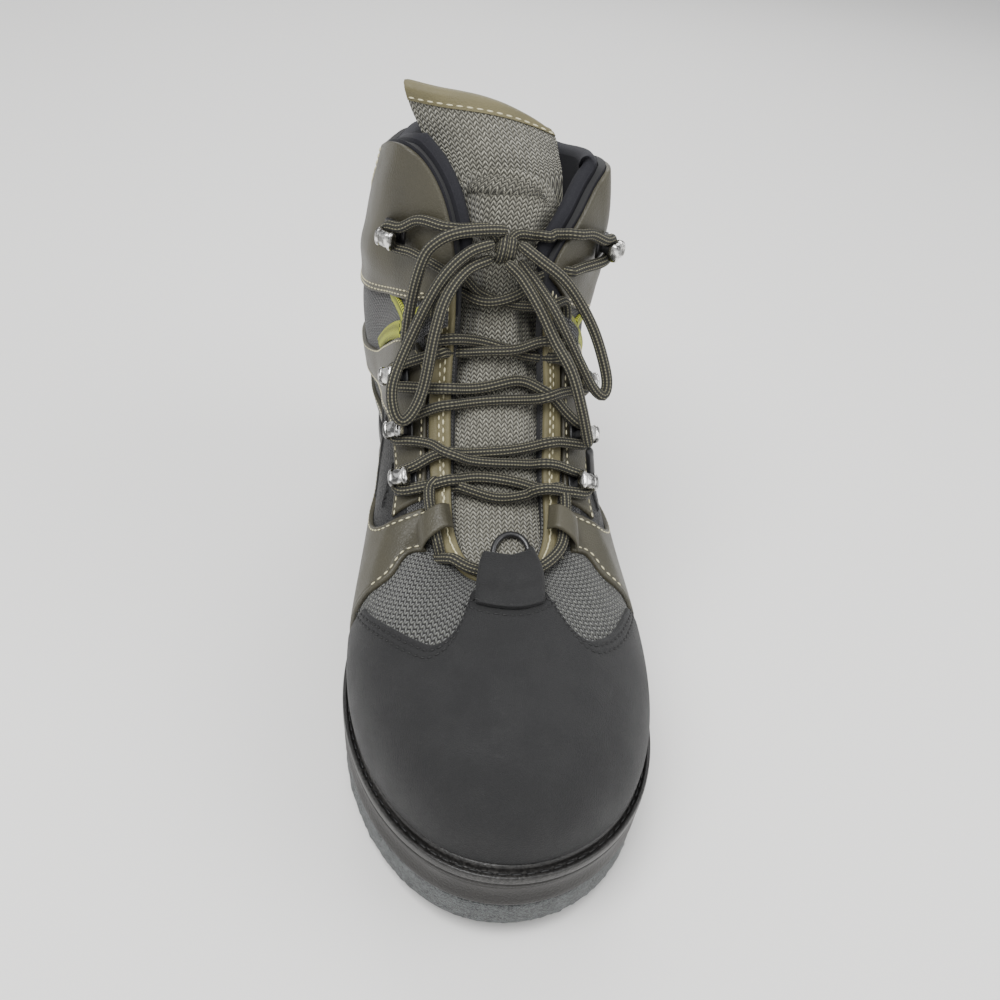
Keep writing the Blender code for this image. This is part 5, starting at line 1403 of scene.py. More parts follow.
@dataclass
class SoleUnit:
    """Felt outsole, midsole, welt and insole."""

    finishes: Finishes
    stations: int = 150
    heel_stations: int = 100
    felt_inset: float = 0.0016
    felt_round: float = 0.0005
    felt_rough: float = 0.00016

    def slab(self, levels: Sequence[Level], start: float, end: float, stations: int) -> Array:
        """Loops of a sole layer.

        Args:
            levels: Inset and height of each loop.
            start: Share of the sole's length where it starts.
            end: Share where it ends.
            stations: Number of steps along it.

        Returns:
            Grid of loops by points.
        """
        loops = []
        for inset, height in levels:
            foot = LAST.footprint(inset)
            first = foot.toe_y if start <= 0 else start * SIZES.sole_length + SIZES.toe_y
            last = foot.heel_y if end >= 1 else end * SIZES.sole_length + SIZES.toe_y
            y = first + (last - first) * (1 - np.cos(np.pi * np.arange(stations + 1) / stations)) / 2
            inner, outer = foot.sides(y)
            high = np.broadcast_to(height(y), y.shape)
            side_in, side_out = np.stack([inner, y, high], axis=1), np.stack([outer, y, high], axis=1)
            loops.append(np.concatenate([side_in, side_out[::-1]]))
        return np.array(loops)

    def add_slab(self, piece: Piece, loops: Array, stations: int) -> None:
        """Add a sole layer's sides, and its top and bottom in strips across.

        Args:
            piece: Piece that takes the layer.
            loops: Grid of loops by points.
            stations: Number of steps along it.
        """
        count, points = loops.shape[:2]
        faces = grid_faces(count, points, 0, tube=True)
        for base in (0, (count - 1) * points):
            for j in range(stations):
                faces.append((base + j, base + j + 1, base + points - 2 - j, base + points - 1 - j))
        run = run_along(loops[0])
        cloth = np.stack([np.broadcast_to(run, (count, points)), loops[..., 2]], axis=-1)
        piece.add(loops, faces, cloth)

    def build_felt(self) -> None:
        """Forefoot and heel felt, with rough sides."""
        random = np.random.default_rng(7)
        mats = (("felt_forefoot", 0, SIZES.forefoot_end), ("felt_heel", SIZES.heel_start, 1))
        for name, start, end in mats:
            stations = self.stations if start == 0 else self.heel_stations
            levels = []
            for share in (0.0, 0.08, 0.25, 0.42, 0.58, 0.75, 0.92, 1.0):
                inset = self.felt_inset + (self.felt_round if share in (0.0, 1.0) else 0.0)
                levels.append((inset, lambda y, s=share: LAST.toe_lift(y) + SIZES.felt_thick * s))
            loops = self.slab(levels, start, end, stations)
            loops[1:-1, :, :2] += random.normal(0, self.felt_rough, loops[1:-1, :, :2].shape)
            loops[0, :, 2] += np.abs(random.normal(0, 0.00005, loops.shape[1]))
            piece = Piece(f"{name}_mat", "felt", (name,))
            self.add_slab(piece, loops, stations)
            piece.finish(self.finishes.felt, 70.0)

    def build_midsole(self) -> None:
        """Rubber midsole with a shallow groove above the felt and a lip under the welt."""

        def bottom(y: Array) -> Array:
            """Height of the underside."""
            return LAST.toe_lift(y) + SIZES.felt_thick + SIZES.clear + LAST.arch(y)

        levels = []
        for share, inset in (
            (0.00, 0.0018), (0.03, 0.0011), (0.10, 0.0008), (0.20, 0.0011), (0.35, 0.0016), (0.50, 0.0018),
            (0.65, 0.0015), (0.76, 0.0011), (0.80, 0.0013), (0.83, 0.0007), (0.90, 0.0001), (0.97, 0.0002),
            (1.00, 0.0006),
        ):
            levels.append((inset, lambda y, s=share: bottom(y) * (1 - s) + LAST.seat(y) * s))
        piece = Piece("midsole_rubber", "rubber", ("midsole",))
        self.add_slab(piece, self.slab(levels, 0, 1, self.stations), self.stations)
        piece.finish(self.finishes.rubber, 50.0)

    def build_insole(self) -> None:
        """Cushioned insole."""
        inset = SIZES.welt_margin + SIZES.wall + 0.0010
        levels = []
        for share, more in ((0.0, 0.0), (0.6, 0.0), (0.9, 0.0006), (1.0, 0.0016)):
            rise = SIZES.clear + SIZES.insole_thick * share
            levels.append((inset + more, lambda y, up=rise: LAST.seat(y) + up))
        piece = Piece("insole_cushion", "insole_foam", ("insole",))
        self.add_slab(piece, self.slab(levels, 0, 1, 70), 70)
        piece.finish(self.finishes.insole, 50.0)

    def build_welt(self, stitches: StitchTool) -> None:
        """Welt with a raised bead, a grooved seat for its stitches and a rounded lip."""
        place = np.arange(720) / 360
        outer_line = LAST.footprint(0).at(place)
        outward = unit(outer_line - LAST.feather.at(place))

        def standing(plan: Array, height: float) -> Array:
            """Points at a height above the midsole's top."""
            return np.column_stack([plan, LAST.seat(plan[:, 1]) + SIZES.clear + height])

        def bead(height: float, out: float) -> Array:
            """Points beside the upper."""
            share = LAST.share_at_height(place, height)
            return LAST.skin(place, share, SIZES.clear + out)

        thick, rise = SIZES.welt_thick, SIZES.bead_height
        foot = bead(thick, 0.0)[:, :2] + outward * SIZES.bead_width

        def flange(share: float, height: float) -> Array:
            """Points across the flat of the welt."""
            return standing(foot * (1 - share) + outer_line * share, height)

        sections = [standing(bead(0, 0)[:, :2], 0), bead(thick, 0.0), bead(thick + rise * 0.9, 0.0)]
        for turn in np.radians((80, 55, 30, 5)):
            height = thick + rise * (0.45 + 0.55 * np.sin(turn))
            sections.append(bead(height, SIZES.bead_width * 0.85 * np.cos(turn) + 0.0002))
        groove = (
            (0.0, 0.98), (0.10, 0.80), (0.22, 0.66), (0.34, 0.66), (0.44, 0.80), (0.52, 0.98), (0.66, 1.02),
        )
        sections += [flange(share, thick * height) for share, height in groove]
        lip = ((0.82, 1.0), (0.93, 0.93), (0.985, 0.78), (1.0, 0.55), (0.995, 0.25), (0.96, 0.0))
        sections += [flange(share, thick * height) for share, height in lip]
        grid = np.stack(sections, axis=1)
        run = run_along(outer_line)
        across = np.arange(len(sections)) * 0.001
        cloth = np.stack(np.broadcast_arrays(run[:, None], across[None, :]), axis=-1)
        piece = Piece("welt_strip", "welt_rubber", ("welt",))
        piece.add_loft(grid, cloth, capped=False)
        piece.finish(self.finishes.welt, 50.0)
        row = flange(0.28, thick * 0.74)
        ring, thread = [np.concatenate([row, row[:1]])], self.finishes.black_thread
        stitches.sew("welt_stitches", ring, thread, WELT_STITCH)

    def build(self, stitches: StitchTool) -> None:
        """Make every layer."""
        self.build_felt()
        self.build_midsole()
        self.build_insole()
        self.build_welt(stitches)


@dataclass
class UpperBody:
    """Knitted body of the upper with the leather laid on it."""

    finishes: Finishes
    rounds: int = 300
    rise_rows: int = 60
    rib_half: float = 0.0045
    rib_rise: float = 0.0007

    def region(self, place: Array, share: Array) -> Array:
        """Which cloth shows: 0 window knit, 1 ribbed panel, 2 elastic gusset, 4 foam by the collar."""
        turned = np.minimum(np.mod(place, 2.0), 2.0 - np.mod(place, 2.0))
        low = smooth_rows(FACING, 120)
        place_mid, share_mid = (low[:, 0] + low[:, 2]) / 2, (low[:, 1] + low[:, 3]) / 2
        above_facing = share > np.interp(turned, place_mid, share_mid)
        by_edge = (turned > 0.55) & (share > 0.86)
        return np.where(turned < 0.375, 0, np.where(by_edge, 4, np.where(above_facing, 2, 1)))

    def build_body(self) -> None:
        """Hollow body, cut into its three cloths where leather covers the joins."""
        place = np.arange(self.rounds) * 2.0 / self.rounds
        share = np.linspace(0, 1, self.rise_rows + 1)
        outer = LAST.skin(place[:, None], share[None, :], -0.0001)
        inner = LAST.skin(place[:, None], share[None, :], -SIZES.wall)
        inner[:, 0, 2] = outer[:, 0, 2]
        run = run_along(LAST.meridian(np.append(place, 2.0), 0.35))[:-1]
        up = run_along(LAST.meridian(0.5, share))
        cloth = np.stack(np.broadcast_arrays(run[:, None], up[None, :]), axis=-1)
        piece = Piece("upper_body", "upper_knit", ("upper",))
        piece.add_wall(inner, outer, cloth, ring=True)
        made = piece.finish(self.finishes.window)
        for paint in (self.finishes.ribbed, self.finishes.gusset, self.finishes.insole, self.finishes.foam):
            made.data.materials.append(paint)
        count = len(made.data.polygons)
        middle = np.zeros(count * 3)
        made.data.polygons.foreach_get("center", middle)
        cells = self.rounds * self.rise_rows
        index = np.full(count, 3, np.int32)
        where = self.region((place[:, None] + 1 / self.rounds), (share[None, :-1] + 0.5 / self.rise_rows))
        index[:cells] = np.broadcast_to(where, (self.rounds, self.rise_rows)).ravel()
        made.data.polygons.foreach_set("material_index", index)
        made.data.update()

    def build_ribbed_seams(self) -> None:
        """Slanted welts pressed across the ribbed panel."""
        piece = Piece("panel_ribs", "upper_knit")
        for side in (1, -1):
            for low, high in (
                (Corner(0.43, 0.60), Corner(0.455, 0.68)),
                (Corner(0.48, 0.42), Corner(0.53, 0.60)),
                (Corner(0.54, 0.34), Corner(0.59, 0.44)),
                (Corner(0.62, 0.26), Corner(0.66, 0.34)),
                (Corner(0.72, 0.23), Corner(0.75, 0.31)),
                (Corner(0.82, 0.21), Corner(0.84, 0.30)),
                (Corner(0.92, 0.20), Corner(0.93, 0.29)),
            ):
                t = np.linspace(0, 1, 24)[:, None]
                line = np.array(low) * (1 - t) + np.array(high) * t
                turned = line[:, 0] if side > 0 else 2.0 - line[:, 0]
                spread = np.linspace(-1, 1, 7)[None, :] * self.rib_half
                place, share = turned[:, None] + spread, line[:, 1:]
                height = self.rib_rise * np.sqrt(np.maximum(0, 1 - (spread / self.rib_half) ** 2))
                outer = LAST.skin(place, share, height - 0.00002)
                inner = LAST.skin(place, share, -0.0006)
                piece.add_wall(inner, outer, np.zeros(outer.shape[:2] + (2,)))
        piece.finish(self.finishes.ribbed)

    def build(self, stitches: StitchTool) -> None:
        """Body, panels and seams."""
        self.build_body()
        self.build_ribbed_seams()
        finishes = self.finishes
        trim = Panel(
            "throat_trim_tape", "throat_trim", "olive_trim", mirrored(THROAT_TRIM), rows=4,
            seams=((Side.HIGH, 0.0026), (Side.HIGH, 0.0054)),
        )
        facing = Panel(
            "facing_leather", "facing", "olive_leather", mirrored(FACING),
            seams=((Side.HIGH, 0.0020), (Side.LOW, 0.0020)),
        )
        cuff = Panel(
            "cuff_leather", "cuff", "olive_leather", mirrored(CUFF), rows=26,
            seams=((Side.LOW, 0.0020), (Side.LOW, 0.0044)),
        )
        quarter = Panel(
            "quarter_leather", "quarter", "olive_leather", mirrored(QUARTER), rows=24,
            seams=((Side.HIGH, 0.0020), (Side.LOW, 0.0020)),
        )
        cap = Panel(
            "toe_cap_nubuck", "toe_cap", "black_nubuck", TOE_CAP, rows=46,
            seams=((Side.HIGH, 0.0022), (Side.HIGH, 0.0046)),
        )
        trim.build(finishes.trim)
        for leather in (facing, cuff, quarter):
            leather.build(finishes.olive)
        cap.build(finishes.nubuck)
        pale, black = finishes.pale_thread, finishes.black_thread
        stitches.sew("trim_stitches", trim.whole_seams(), pale, TRIM_STITCH)
        above, below = quarter.seams
        rows = facing.whole_seams() + cuff.whole_seams() + [quarter.seam(*above)]
        rows += [quarter.seam(*below, first, last) for first, last in ((0.02, 0.16), (0.84, 0.98))]
        rows += self.back_seams()
        stitches.sew("leather_stitches", rows, pale, LEATHER_STITCH)
        stitches.sew("cap_stitches", cap.whole_seams(), black, NUBUCK_STITCH)

    def back_seams(self) -> list[Array]:
        """Curved double seam of the cuff's back piece on each side."""
        rows = []
        for side in (1, -1):
            for shift in (0.0, 0.011):
                line = smooth_rows(
                    [
                        (0.800 + shift, 0.975),
                        (0.790 + shift, 0.920),
                        (0.805 + shift, 0.885 - shift),
                        (0.850, 0.860 - shift * 1.6),
                        (0.930, 0.845 - shift * 1.6),
                        (1.000, 0.840 - shift * 1.6),
                    ],
                    50,
                )
                place = line[:, 0] if side > 0 else 2.0 - line[:, 0]
                rows.append(LAST.skin(place, line[:, 1], SIZES.clear + SIZES.overlay + 0.00012))
        return rows


@dataclass
class Tongue:
    """Knitted tongue with crumpled gussets and a bound top."""

    finishes: Finishes
    long: int = 170
    wide: int = 64
    seam_at: float = 0.56

    def front(self) -> Array:
        """Coarse grid of the front face, from under the vamp to the free top."""
        under = SIZES.wall + SIZES.clear * 2
        tuck = np.linspace(0.27, -0.27, 9)
        rows = [LAST.skin(tuck, 0.86, -under - 0.0012), LAST.skin(tuck, 0.985, -under - 0.0012)]
        for station in range(9, 22):
            padded = ease((station - 14) / 4)
            depth = under + (SIZES.padding + SIZES.clear) * padded
            ahead = (SIZES.padding_roll + SIZES.clear * 3) * ease((station - 15) / 3)
            sides = []
            for place in (station / 32, 2 - station / 32):
                lap = LAST.skin(place, np.array([0.84, 0.90]), -depth)
                sides.append(np.concatenate([lap, LAST.beyond_edge(np.array([place]), ahead, -depth)]))
            ways = [unit(side[2] - side[1]) * (0.2 + 0.8 * ease((station - 9) / 4)) for side in sides]
            t = np.linspace(0, 1, 5)[:, None]
            reach = np.linalg.norm(sides[1][2] - sides[0][2])
            arch = (2 * t**3 - 3 * t**2 + 1) * sides[0][2] + (t**3 - 2 * t**2 + t) * reach * ways[0]
            arch += (3 * t**2 - 2 * t**3) * sides[1][2] - (t**3 - t**2) * reach * ways[1]
            rows.append(np.concatenate([sides[0][:2], arch, sides[1][:2][::-1]]))
        across = np.linspace(-1, 1, 9)
        for row in TONGUE_FLAP:
            middle, half = (row.inner + row.outer) / 2, (row.outer - row.inner) / 2
            back = np.where(across < 0, row.inner_back, row.outer_back) * across**2
            fall = np.clip((across + 0.3) / 1.3, 0, 1) ** 2 * row.outer_fall
            y = SIZES.toe_y + (row.along + back) * SIZES.sole_length
            x = (middle + half * across) * SIZES.ball_width
            rows.append(np.column_stack([x, y, (row.up - fall) * SIZES.tongue_top]))
        return np.array(rows)

    def dense(self) -> tuple[Array, Array, Array]:
        """Fine grid of the face, its normals and its cloth map."""
        grid = smooth_rows(self.front(), self.long)
        grid = np.swapaxes(smooth_rows(np.swapaxes(grid, 0, 1), self.wide), 0, 1)
        normal = unit(np.cross(np.gradient(grid, axis=1), np.gradient(grid, axis=0)))
        across = np.linspace(-1, 1, self.wide)[None, :]
        run = run_along(grid[:, self.wide // 2])
        step = np.linalg.norm(np.diff(grid, axis=1), axis=2)
        side = np.concatenate([np.zeros((self.long, 1)), np.cumsum(step, axis=1)], axis=1)
        side -= side[:, self.wide // 2][:, None]
        cloth = np.stack([side, np.broadcast_to(run[:, None], side.shape)], axis=-1)
        seam = np.exp(-(((np.abs(across) - self.seam_at) / 0.045) ** 2))
        free = ease((0.80 - np.linspace(0, 1, self.long)) / 0.1)[:, None]
        crumple = np.sin(run[:, None] / 0.0052 + np.sin(across * 9.0) * 1.6)
        crumple = crumple * np.sin(across * 21.0 + run[:, None] / 0.011)
        gusset = ease((np.abs(across) - self.seam_at) / 0.12) * free
        height = -0.0009 * seam * free + 0.0008 * crumple * gusset
        quilt = 0.00025 * np.sin(run[:, None] / 0.009) * (1 - gusset)
        return grid + normal * (height + quilt)[..., None], normal, cloth

    def build(self, stitches: StitchTool) -> None:
        """Tongue, its binding and the binding's seam."""
        grid, normal, cloth = self.dense()
        top = np.linalg.norm(grid - grid[-1:], axis=2).mean(axis=1)
        last = int(np.argmax(top < SIZES.binding))
        from_side = np.clip((1 - np.abs(np.linspace(-1, 1, self.wide))) / 0.05, 0.12, 1)
        thick = SIZES.tongue_thick * np.sqrt(np.clip(1 - (1 - from_side) ** 2, 0.02, 1))
        back = grid - normal * thick[None, :, None]
        piece = Piece("tongue_cloth", "tongue_knit", ("tongue",))
        piece.add_wall(back[: last + 2], grid[: last + 2], cloth[: last + 2])
        piece.finish(self.finishes.tongue)
        binding = Piece("tongue_top_binding", "olive_trim", ("tongue_binding",))
        t = np.linspace(0, 1, 9)
        low, high = grid[last], grid[-1]
        stand = [0.0005 * math.sqrt(1 - max(0, 2 * s - 1) ** 2) for s in t]
        front = np.stack([low * (1 - s) + high * s + normal[-1] * out for s, out in zip(t, stand)])
        rear = np.stack([back[last] * (1 - s) + back[-1] * s - normal[-1] * 0.0004 for s in t])
        crest = (front[-1] + rear[-1]) / 2 + unit(high - low) * 0.0016
        ahead = (front[-1] + crest) / 2 + normal[-1] * 0.0005
        behind = (rear[-1] + crest) / 2 - normal[-1] * 0.0005
        loops = np.concatenate([front, [ahead, crest, behind], rear[::-1]])
        binding.add_loft(np.swapaxes(loops, 0, 1))
        binding.finish(self.finishes.trim)
        row = low * 0.78 + high * 0.22 + normal[-1] * 0.00045
        thread = self.finishes.pale_thread
        stitches.sew("binding_stitches", [row[2:-2]], thread, BINDING_STITCH)


@dataclass
class Collar:
    """Foam collar padding with its roll above the cuff."""

    finishes: Finishes
    stations: int = 220

    def build(self) -> None:
        """Make the roll and the lining below it."""
        place = np.linspace(19 / 32, 2 - 19 / 32, self.stations)
        face = -(SIZES.wall + SIZES.clear)
        section = [LAST.skin(place, fold.share, face) for fold in PADDING_SIDE[::-1]]
        for turn in np.radians([160, 120, 80, 40, 10]):
            depth = face - SIZES.padding * (1 - math.cos(math.pi - turn)) / 2
            section.append(LAST.beyond_edge(place, SIZES.padding_roll * math.sin(turn), depth))
        for fold in PADDING_SIDE:
            section.append(LAST.skin(place, fold.share, face - SIZES.padding * fold.depth))
        loops = np.stack(section, axis=1)
        knots = np.arange(loops.shape[1], dtype=float)
        at = np.linspace(0, len(knots), 56, endpoint=False)
        flat = np.swapaxes(loops, 0, 1).reshape(len(knots), -1)
        dense = periodic_spline(knots, flat, float(len(knots)), at)
        dense = np.swapaxes(dense.reshape(len(at), self.stations, 3), 0, 1)
        middle = dense.mean(axis=1, keepdims=True)
        ends = np.minimum(np.arange(self.stations), np.arange(self.stations)[::-1])
        swell = dome(np.maximum(ends / 5, 0.1))[:, None, None]
        piece = Piece("collar_roll", "navy_foam", ("collar_padding",))
        piece.add_loft(middle + (dense - middle) * swell)
        made = piece.finish(self.finishes.foam, 80.0)


@dataclass
class Straps:
    """Keeper tab, leather lace bands, webbing loops and webbing arms."""

    finishes: Finishes

    def band(self, piece: Piece, place: Sequence, table: list[Rise], tip: float = 0.0) -> None:
        """Add a strap that stands off the upper.

        Args:
            piece: Piece that takes the strap.
            place: Places of its lines, from side to side: one each, or one at the foot and one
                at the tip.
            table: Its section.
            tip: How far it goes past the upper's edge.
        """
        count = 26
        rows = smooth_rows(np.array(table), 34)
        share, out = np.clip(rows[:, 0], 0, 1), rows[:, 1] * SIZES.lace
        sides = smooth_rows(np.array(place).reshape(len(place), -1), count)
        foot, dense = sides[:, 0], sides[:, -1]
        slide = (share - share[0]) / (share[-1] - share[0])
        spread = foot[:, None] + (dense - foot)[:, None] * slide
        edge = np.minimum(np.arange(count), np.arange(count)[::-1]) / 2.0
        round_off = 0.4 + 0.6 * dome(edge)
        low = LAST.skin(spread, share[None, :], out[None, :])
        high = LAST.skin(spread, share[None, :], out[None, :] + SIZES.strap * round_off[:, None])
        if tip:
            for k in range(1, 5):
                over = tip * k / 4
                low = np.concatenate([low, LAST.beyond_edge(dense, over, out[-1])[:, None]], axis=1)
                top = LAST.beyond_edge(dense, over, out[-1] + SIZES.strap * round_off * (1 - 0.12 * k))
                high = np.concatenate([high, top[:, None]], axis=1)
        run = np.cumsum(np.linalg.norm(np.diff(low, axis=1, prepend=low[:, :1]), axis=2), axis=1)
        side = np.cumsum(np.linalg.norm(np.diff(low, axis=0, prepend=low[:1]), axis=2), axis=0)
        piece.add_wall(low, high, np.stack([run, side], axis=-1))

    def build(self, stitches: StitchTool) -> None:
        """Make every strap."""
        finishes = self.finishes
        keeper = Piece("keeper_strap", "black_nubuck", ("keeper_tab",))
        self.band(keeper, KEEPER_PLACES, KEEPER, SIZES.keeper_tip)
        keeper.finish(finishes.nubuck)
        base = LAST.skin(np.linspace(0.114, -0.121, 40), 0.868, SIZES.lace * 0.54 + SIZES.strap - 0.0001)
        low = LAST.skin(np.linspace(0.150, -0.165, 40), 0.845, SIZES.clear + SIZES.overlay)
        thread = finishes.black_thread
        stitches.sew("keeper_stitches", [base, low], thread, NUBUCK_STITCH)
        bands = Piece("lace_bands", "olive_leather", ("lace_band_inner", "lace_band_outer"))
        loops = Piece("webbing_loops", "webbing", ("webbing_loop_inner", "webbing_loop_outer"))
        arms = Piece("webbing_arms", "webbing", ("webbing_inner", "webbing_outer"))
        for side in (1, -1):
            self.band(bands, np.array(LACE_BAND_PLACES) * side, LACE_BAND)
            self.band(loops, np.array(WEBBING_LOOP_PLACES) * side, LACE_BAND)
            for start, end, wide in (
                (Corner(0.648, 0.500), Corner(0.588, 0.735), 0.013),
                (Corner(0.650, 0.680), Corner(0.592, 0.765), 0.011),
                (Corner(0.592, 0.740), Corner(0.577, 0.880), 0.010),
            ):
                t = np.linspace(0, 1, 24)[:, None]
                s = np.linspace(-0.5, 0.5, 9)[None, :]
                way = np.array(end) - np.array(start)
                cross = np.array([-way[1], way[0] * 0.3])
                cross = cross / np.linalg.norm(cross * (PLACE_SPAN, SHARE_SPAN)) * wide * 0.5
                place = start.place + way[0] * t + cross[0] * s
                share = start.share + way[1] * t + cross[1] * s
                rim = np.sqrt(1 - (np.abs(s) * 1.9) ** 6)
                place = place if side > 0 else 2.0 - place
                outer = LAST.skin(place, share, SIZES.clear + SIZES.overlay * 0.8 * rim)
                inner = LAST.skin(place, share, SIZES.clear * 0.5)
                reach = np.linalg.norm(way * (PLACE_SPAN, SHARE_SPAN))
                cloth = np.stack(np.broadcast_arrays(t * reach, s * wide * 0.5), axis=-1)
                arms.add_wall(inner, outer, cloth)
        bands.finish(finishes.olive)
        loops.finish(finishes.gusset)
        arms.finish(finishes.webbing)


@dataclass
class Hardware:
    """Lace hooks and the D-shaped ring."""

    finishes: Finishes
    plate: tuple[float, float, float] = (0.0096, 0.0086, 0.0012)
    plate_shift: float = 0.0012
    neck: float = 0.0034
    head_width: float = 0.0076
    head_round: float = 0.0034
    ring: tuple[float, float, float] = (0.0064, 0.0105, 0.0023)

    def frame_of(self, hook: Hook) -> tuple[Array, Array, Array, Array]:
        """Middle of a hook's base, the ways towards the tongue and up, and the normal."""
        out = SIZES.clear + SIZES.overlay + 0.0006
        place, share = np.array([hook.place]), np.array([hook.share])
        point, normal = LAST.plain(place, share)
        base, normal = point[0] + normal[0] * out, normal[0]
        towards = np.array([-math.copysign(1.0, base[0]), 0.0, 0.0])
        towards = unit(towards - normal * (towards @ normal))
        upward = np.cross(normal, towards)
        return base, towards, upward * math.copysign(1.0, upward[2]), normal

    def lump(
        self, piece: Piece, middle: Array, axes: Sequence[Array], half: Sequence[float], power: float
    ) -> None:
        """Add a rounded block.

        Args:
            piece: Piece that takes it.
            middle: Its middle.
            axes: Its three ways.
            half: Half its size along each.
            power: How square it is: 2 is an ellipsoid.
        """
        rings, around = 12, 20
        lat = np.linspace(-math.pi / 2, math.pi / 2, rings)[1:-1, None]
        lon = np.linspace(0, math.tau, around, endpoint=False)[None, :]

        def bent(value: Array) -> Array:
            """Value drawn towards a square."""
            return np.sign(value) * np.abs(value) ** (2 / power)

        x = bent(np.cos(lat)) * bent(np.cos(lon))
        y = bent(np.cos(lat)) * bent(np.sin(lon))
        z = bent(np.sin(lat))
        grid = middle + sum(c[..., None] * h * a for c, h, a in zip((x, y, z), half, axes))
        poles = [middle - half[2] * axes[2], middle + half[2] * axes[2]]
        faces = grid_faces(rings - 2, around, 0, tube=True)
        base = (rings - 2) * around
        for j in range(around):
            faces.append((base, j, (j + 1) % around))
            faces.append((base + 1, base - around + (j + 1) % around, base - around + j))
        piece.add(np.concatenate([grid.reshape(-1, 3), np.array(poles)]), faces)

    def build_hooks(self) -> None:
        """Bright rolled heads on black plates."""
        heads = Piece("hook_heads", "bright_metal")
        plates = Piece("hook_plates", "black_metal", tuple(hook.name for hook in LACE_HOOKS))
        for hook in LACE_HOOKS:
            base, towards, upward, normal = self.frame_of(hook)
            wide, tall, thick = self.plate
            middle = base + normal * thick / 2 - towards * self.plate_shift
            self.lump(plates, middle, (towards, upward, normal), (wide / 2, tall / 2, thick / 2), 7.0)
            low = thick + SIZES.lace + 0.0004
            self.lump(
                plates, base + normal * (thick + low) / 2, (towards, upward, normal),
                (self.neck / 2, self.neck / 2, low / 2 + 0.0004), 4.0,
            )
            head = base + normal * (low + 0.0014)
            axes, rim = (upward, normal, towards), self.head_width * 0.36
            half = (self.head_round * 0.86, 0.0019, self.head_width / 2)
            self.lump(heads, head - towards * 0.0002, axes, half, 3.0)
            half = (self.head_round * 1.02, 0.0023, self.head_width * 0.16)
            for shift in (-rim, rim):
                self.lump(heads, head + towards * shift, axes, half, 2.6)
        plates.finish(self.finishes.black_metal)
        heads.finish(self.finishes.bright)

    def build_ring(self) -> None:
        """D-shaped ring with its flat bar below; its half width, height and wire are self.ring."""
        half, tall, wire = self.ring
        turns = np.radians(np.linspace(-8, 188, 40))
        outline = [(x, 0.0) for x in np.linspace(-half * 0.9, half * 0.9, 14)]
        outline += [(half * math.cos(turn), tall * (0.3 + 0.7 * math.sin(turn))) for turn in turns]
        foot, head = LAST.spots(RING_SPOTS)
        up = unit(head - foot)
        side = np.array([1.0, 0.0, 0.0])
        path = np.array([foot + x * side + y * up for x, y in outline])
        front = np.cross(side, up)
        outward = path - (foot + up * tall / 2)
        outward = unit(outward - np.outer(outward @ front, front))
        around = np.linspace(0, math.tau, 12, endpoint=False)
        rings = [path + wire / 2 * (np.cos(turn) * outward + np.sin(turn) * front) for turn in around]
        loops = np.stack(rings, axis=1)
        piece = Piece("d_shaped_ring", "black_metal", ("d_ring",))
        piece.add_loft(loops, capped=False)
        piece.finish(self.finishes.black_metal)

    def build(self) -> None:
        """Make all the hardware."""
        self.build_hooks()
        self.build_ring()


LOOP_PASS = [Corner(*row) for row in (
    (0.538, 0.935), (0.548, 0.915), (0.559, 0.912), (0.572, 0.915), (0.582, 0.935),
)]
KNOT = (0.0, -0.1120, 0.1720)


